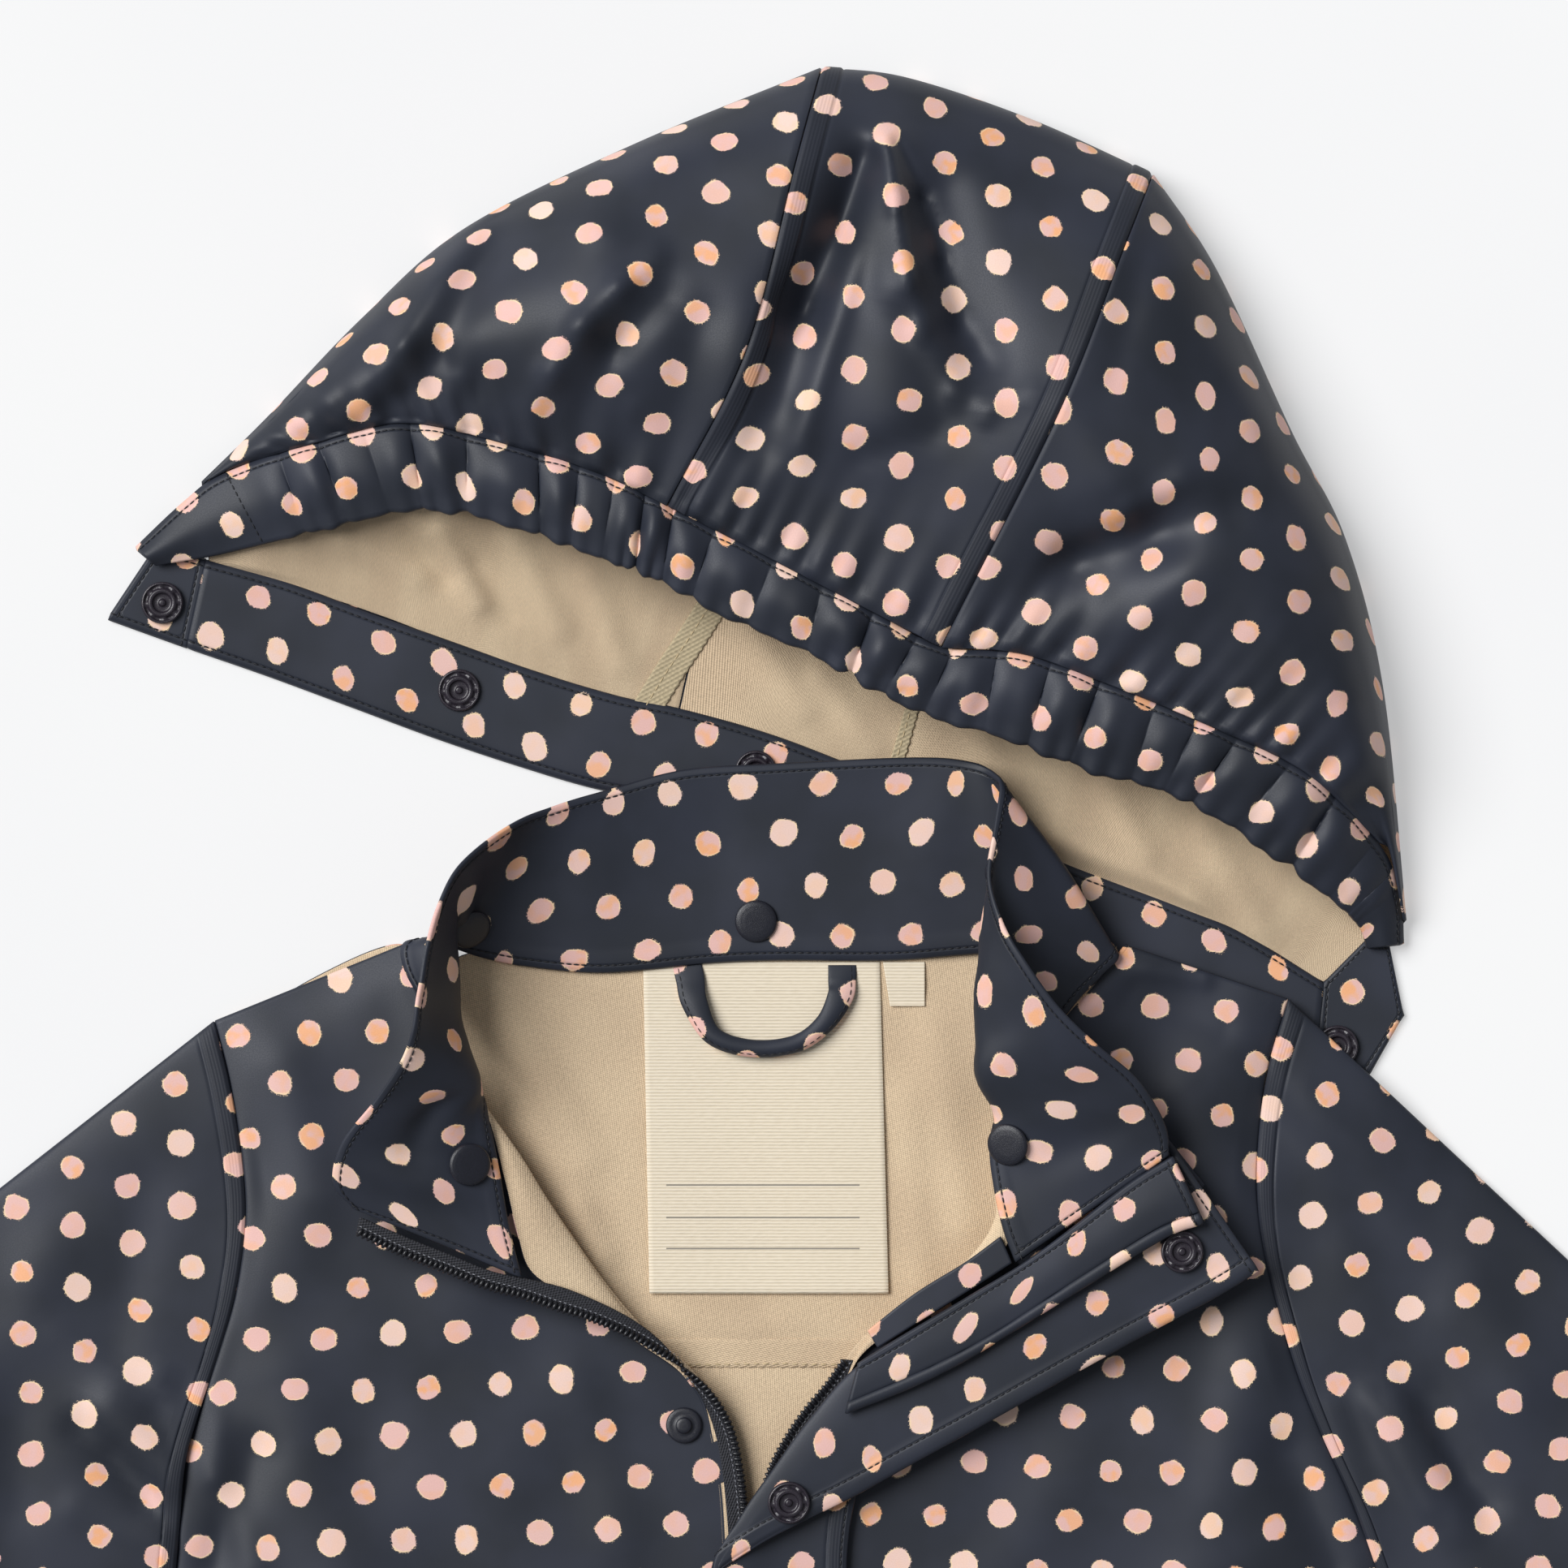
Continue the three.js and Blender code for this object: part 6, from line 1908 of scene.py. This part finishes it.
def make_snaps():
    """Caps on the collar and the closed flap, sockets on the neckband and the open flap, one stud."""
    collar, flap = collar_surface(), placket_surface()
    for index, (u, v, gap) in enumerate(zip(*COLLAR_SNAPS.values()), 1):
        place, normal = on_surface(collar, u, v)
        base = place - normal * (COLLAR_REACH + gap - CAP_SUNK)
        snap_part(f"collar_cap_{index}", CAP_PROFILE, base, -normal)
    for index, (x, y) in enumerate(BAND_SNAPS, 1):
        base = np.array([x, y, BAND_TOP_Z])
        snap_part(f"hood_socket_{index}", SOCKET_PROFILE, base, (0, 0, 1), slotted=True)
    for index, (u, v) in enumerate(FLAP_SOCKETS, 1):
        place, normal = on_surface(flap, u, v)
        base = place - normal * FLAP_SOCKET_RISE
        snap_part(f"flap_socket_{index}", SOCKET_PROFILE, base, -normal, slotted=True)
    for index, (u, v) in enumerate(FLAP_CAPS, 1):
        place, normal = on_surface(flap, u, v)
        snap_part(f"flap_cap_{index}", CAP_PROFILE, place + normal * FLAP_CAP_RISE, normal)
    stud = SNAP_DIAMETER * STUD_SHARE
    snap_part("front_stud_1", STUD_PROFILE, np.array(FRONT_STUD), (0, 0, 1), diameter=stud)


# Seam tapes inside the hood: path and width
NAPE_TAPES = {
    "nape_seam_tape": ([[-44, 24], [-37, 35.4], [-30, 46], [-23, 57], [-8, 81]], 9.0),
    "nape_seam_ridge": ([[34, 0], [37.6, 12], [41, 24], [48, 46]], 4.0),
}
NAPE_TAPE_CLOTH = 0.6
NAPE_STITCH_PITCH = 3.0
NAPE_STITCH = (2.3, 0.45, 0.4)


def make_nape_tapes():
    """Bands of twill over the hood's seams on the nape side, seen inside the hood's mouth."""
    for name, (path, width) in NAPE_TAPES.items():
        line = curve(np.array(path, float), even(60))
        ahead = unit(np.gradient(line, axis=0))
        side = np.stack([ahead[:, 1], -ahead[:, 0]], axis=-1)
        share = np.linspace(-0.5, 0.5, 15)
        plan = line[:, None] + side[:, None] * (share * width)[None, :, None]
        fray = 0.22 * np.sin(run_along(plan, 0) * 2.3) * smooth_step((share - 0.4) * 10)[None, :]
        plan = plan + side[:, None] * fray[..., None]
        height = FLOOR_LAYER + CLOTH / 2 + 0.35 + fold_height(plan[..., 0], plan[..., 1], NAPE_CREASES)
        grid = np.concatenate([plan, height[..., None]], axis=-1)
        cut = on_cut(plan, 55)
        cloth(name, grid, NAPE_TAPE_CLOTH, (SEAM_TAPE, SEAM_TAPE), cut, [])
        ups = np.broadcast_to([0.0, 0.0, 1.0], grid.shape)
        lines = [inset_line(grid, ups, "first column", width * 0.42, 0.35)]
        beads(f"{name}_stitching", lines, NAPE_STITCH_PITCH, NAPE_STITCH, BEIGE_THREAD)


def dress_slider():
    """The slider keeps its solid and takes the snaps' plastic."""
    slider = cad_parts["zip_slider"]
    if not slider.data.materials:
        slider.data.materials.append(SNAP)
    for place in range(len(slider.data.materials)):
        slider.data.materials[place] = SNAP


# Camera, floor and light
CAMERA_HEIGHT = 3.4
CAMERA_REACH = 20
SENSOR = 36.0


def make_camera():
    """Camera straight above the middle of the photo's frame, with a long lens."""
    data = bpy.data.cameras.new("camera")
    camera = bpy.data.objects.new("camera", data)
    bpy.context.scene.collection.objects.link(camera)
    camera.location = Vector([*placed([0, 0, 0])[:2], CAMERA_HEIGHT])
    data.sensor_width = SENSOR
    data.lens = SENSOR * CAMERA_HEIGHT / (PHOTO_SPAN * MM)
    data.clip_end = CAMERA_REACH
    bpy.context.scene.camera = camera


SKY = (0.93, 0.96, 1, 1)
WORLD_STRENGTH = 0.25
KEY_STRENGTH = 3.5
KEY_SOFTNESS = 40
KEY_SOURCE = (-1.0, 0.5, 1.25)
FLOOR_GLOW = 0.42
FLOOR_SIZE = 12
FLOOR_DROP = 0.0004


def sun_light(name, source, strength, softness):
    """Even soft light from a direction: softness is the source's width in degrees."""
    data = bpy.data.lights.new(name, "SUN")
    data.energy, data.angle = strength, math.radians(softness)
    light = bpy.data.objects.new(name, data)
    bpy.context.scene.collection.objects.link(light)
    light.rotation_euler = Vector(source).to_track_quat("Z", "Y").to_euler()


def make_studio():
    """Pale floor lit from below like a light table, a pale world and soft light from the upper left."""
    x, y, _ = placed([0, 0, 0])
    bpy.ops.mesh.primitive_plane_add(size=FLOOR_SIZE, location=(x, y, -FLOOR_DROP))
    floor = bpy.context.object
    floor.name = "floor"
    n, shader, material = new_material("pale_floor", 0.9)
    grain = n.noise(n.add("ShaderNodeTexCoord").outputs["Object"], 3.0, 2.0)["Fac"]
    link(n, n.colour_mix(n.ramp(grain, 0.3, 0.7), srgb("b6b6b7"), srgb("b9b9b9")), shader, "Base Color")
    link(n, (1, 1, 1, 1), shader, "Emission Color")
    link(n, FLOOR_GLOW, shader, "Emission Strength")
    link(n, 0.1, shader, "Specular IOR Level")
    floor.data.materials.append(material)
    world = bpy.data.worlds.new("studio")
    bpy.context.scene.world = world
    world.use_nodes = True
    sky = world.node_tree.nodes["Background"].inputs
    sky["Color"].default_value = SKY
    sky["Strength"].default_value = WORLD_STRENGTH
    sun_light("key", KEY_SOURCE, KEY_STRENGTH, KEY_SOFTNESS)
    bpy.context.scene.view_settings.view_transform = "Standard"


make_camera()
make_studio()
make_back()
make_yoke_seam()
make_front("front_left", LEFT_FRONT, LEFT_ARMHOLE, LEFT_SIDE, (LINING, COATED), 2.8, (3, 6))
make_front("front_right", RIGHT_FRONT, RIGHT_ARMHOLE, RIGHT_SIDE, (COATED, LINING), -2, (9, 2))
make_sleeve("sleeve_left", LEFT_ARMHOLE, 218, 1, 0, (LINING, COATED), 38, (5, 5))
make_sleeve("sleeve_right", RIGHT_ARMHOLE, -43, -1, 4.3, (COATED, LINING), -43, (12, 3))
make_collar()
make_placket()
make_guard()
make_facing()
make_zip_side("left", LEFT_TAPE)
make_zip_side("right", RIGHT_TAPE)
dress_slider()
make_hood_panel("hood_left", HOOD_LEFT, 18, (4, 8))
make_hood_panel("hood_centre", HOOD_CENTRE, 90, (7, 3), taped=True)
make_hood_panel("hood_right", HOOD_RIGHT, 85, (2, 9))
make_casing()
make_neckband()
make_tabs()
make_nape_tapes()
make_loop()
make_labels()
make_snaps()
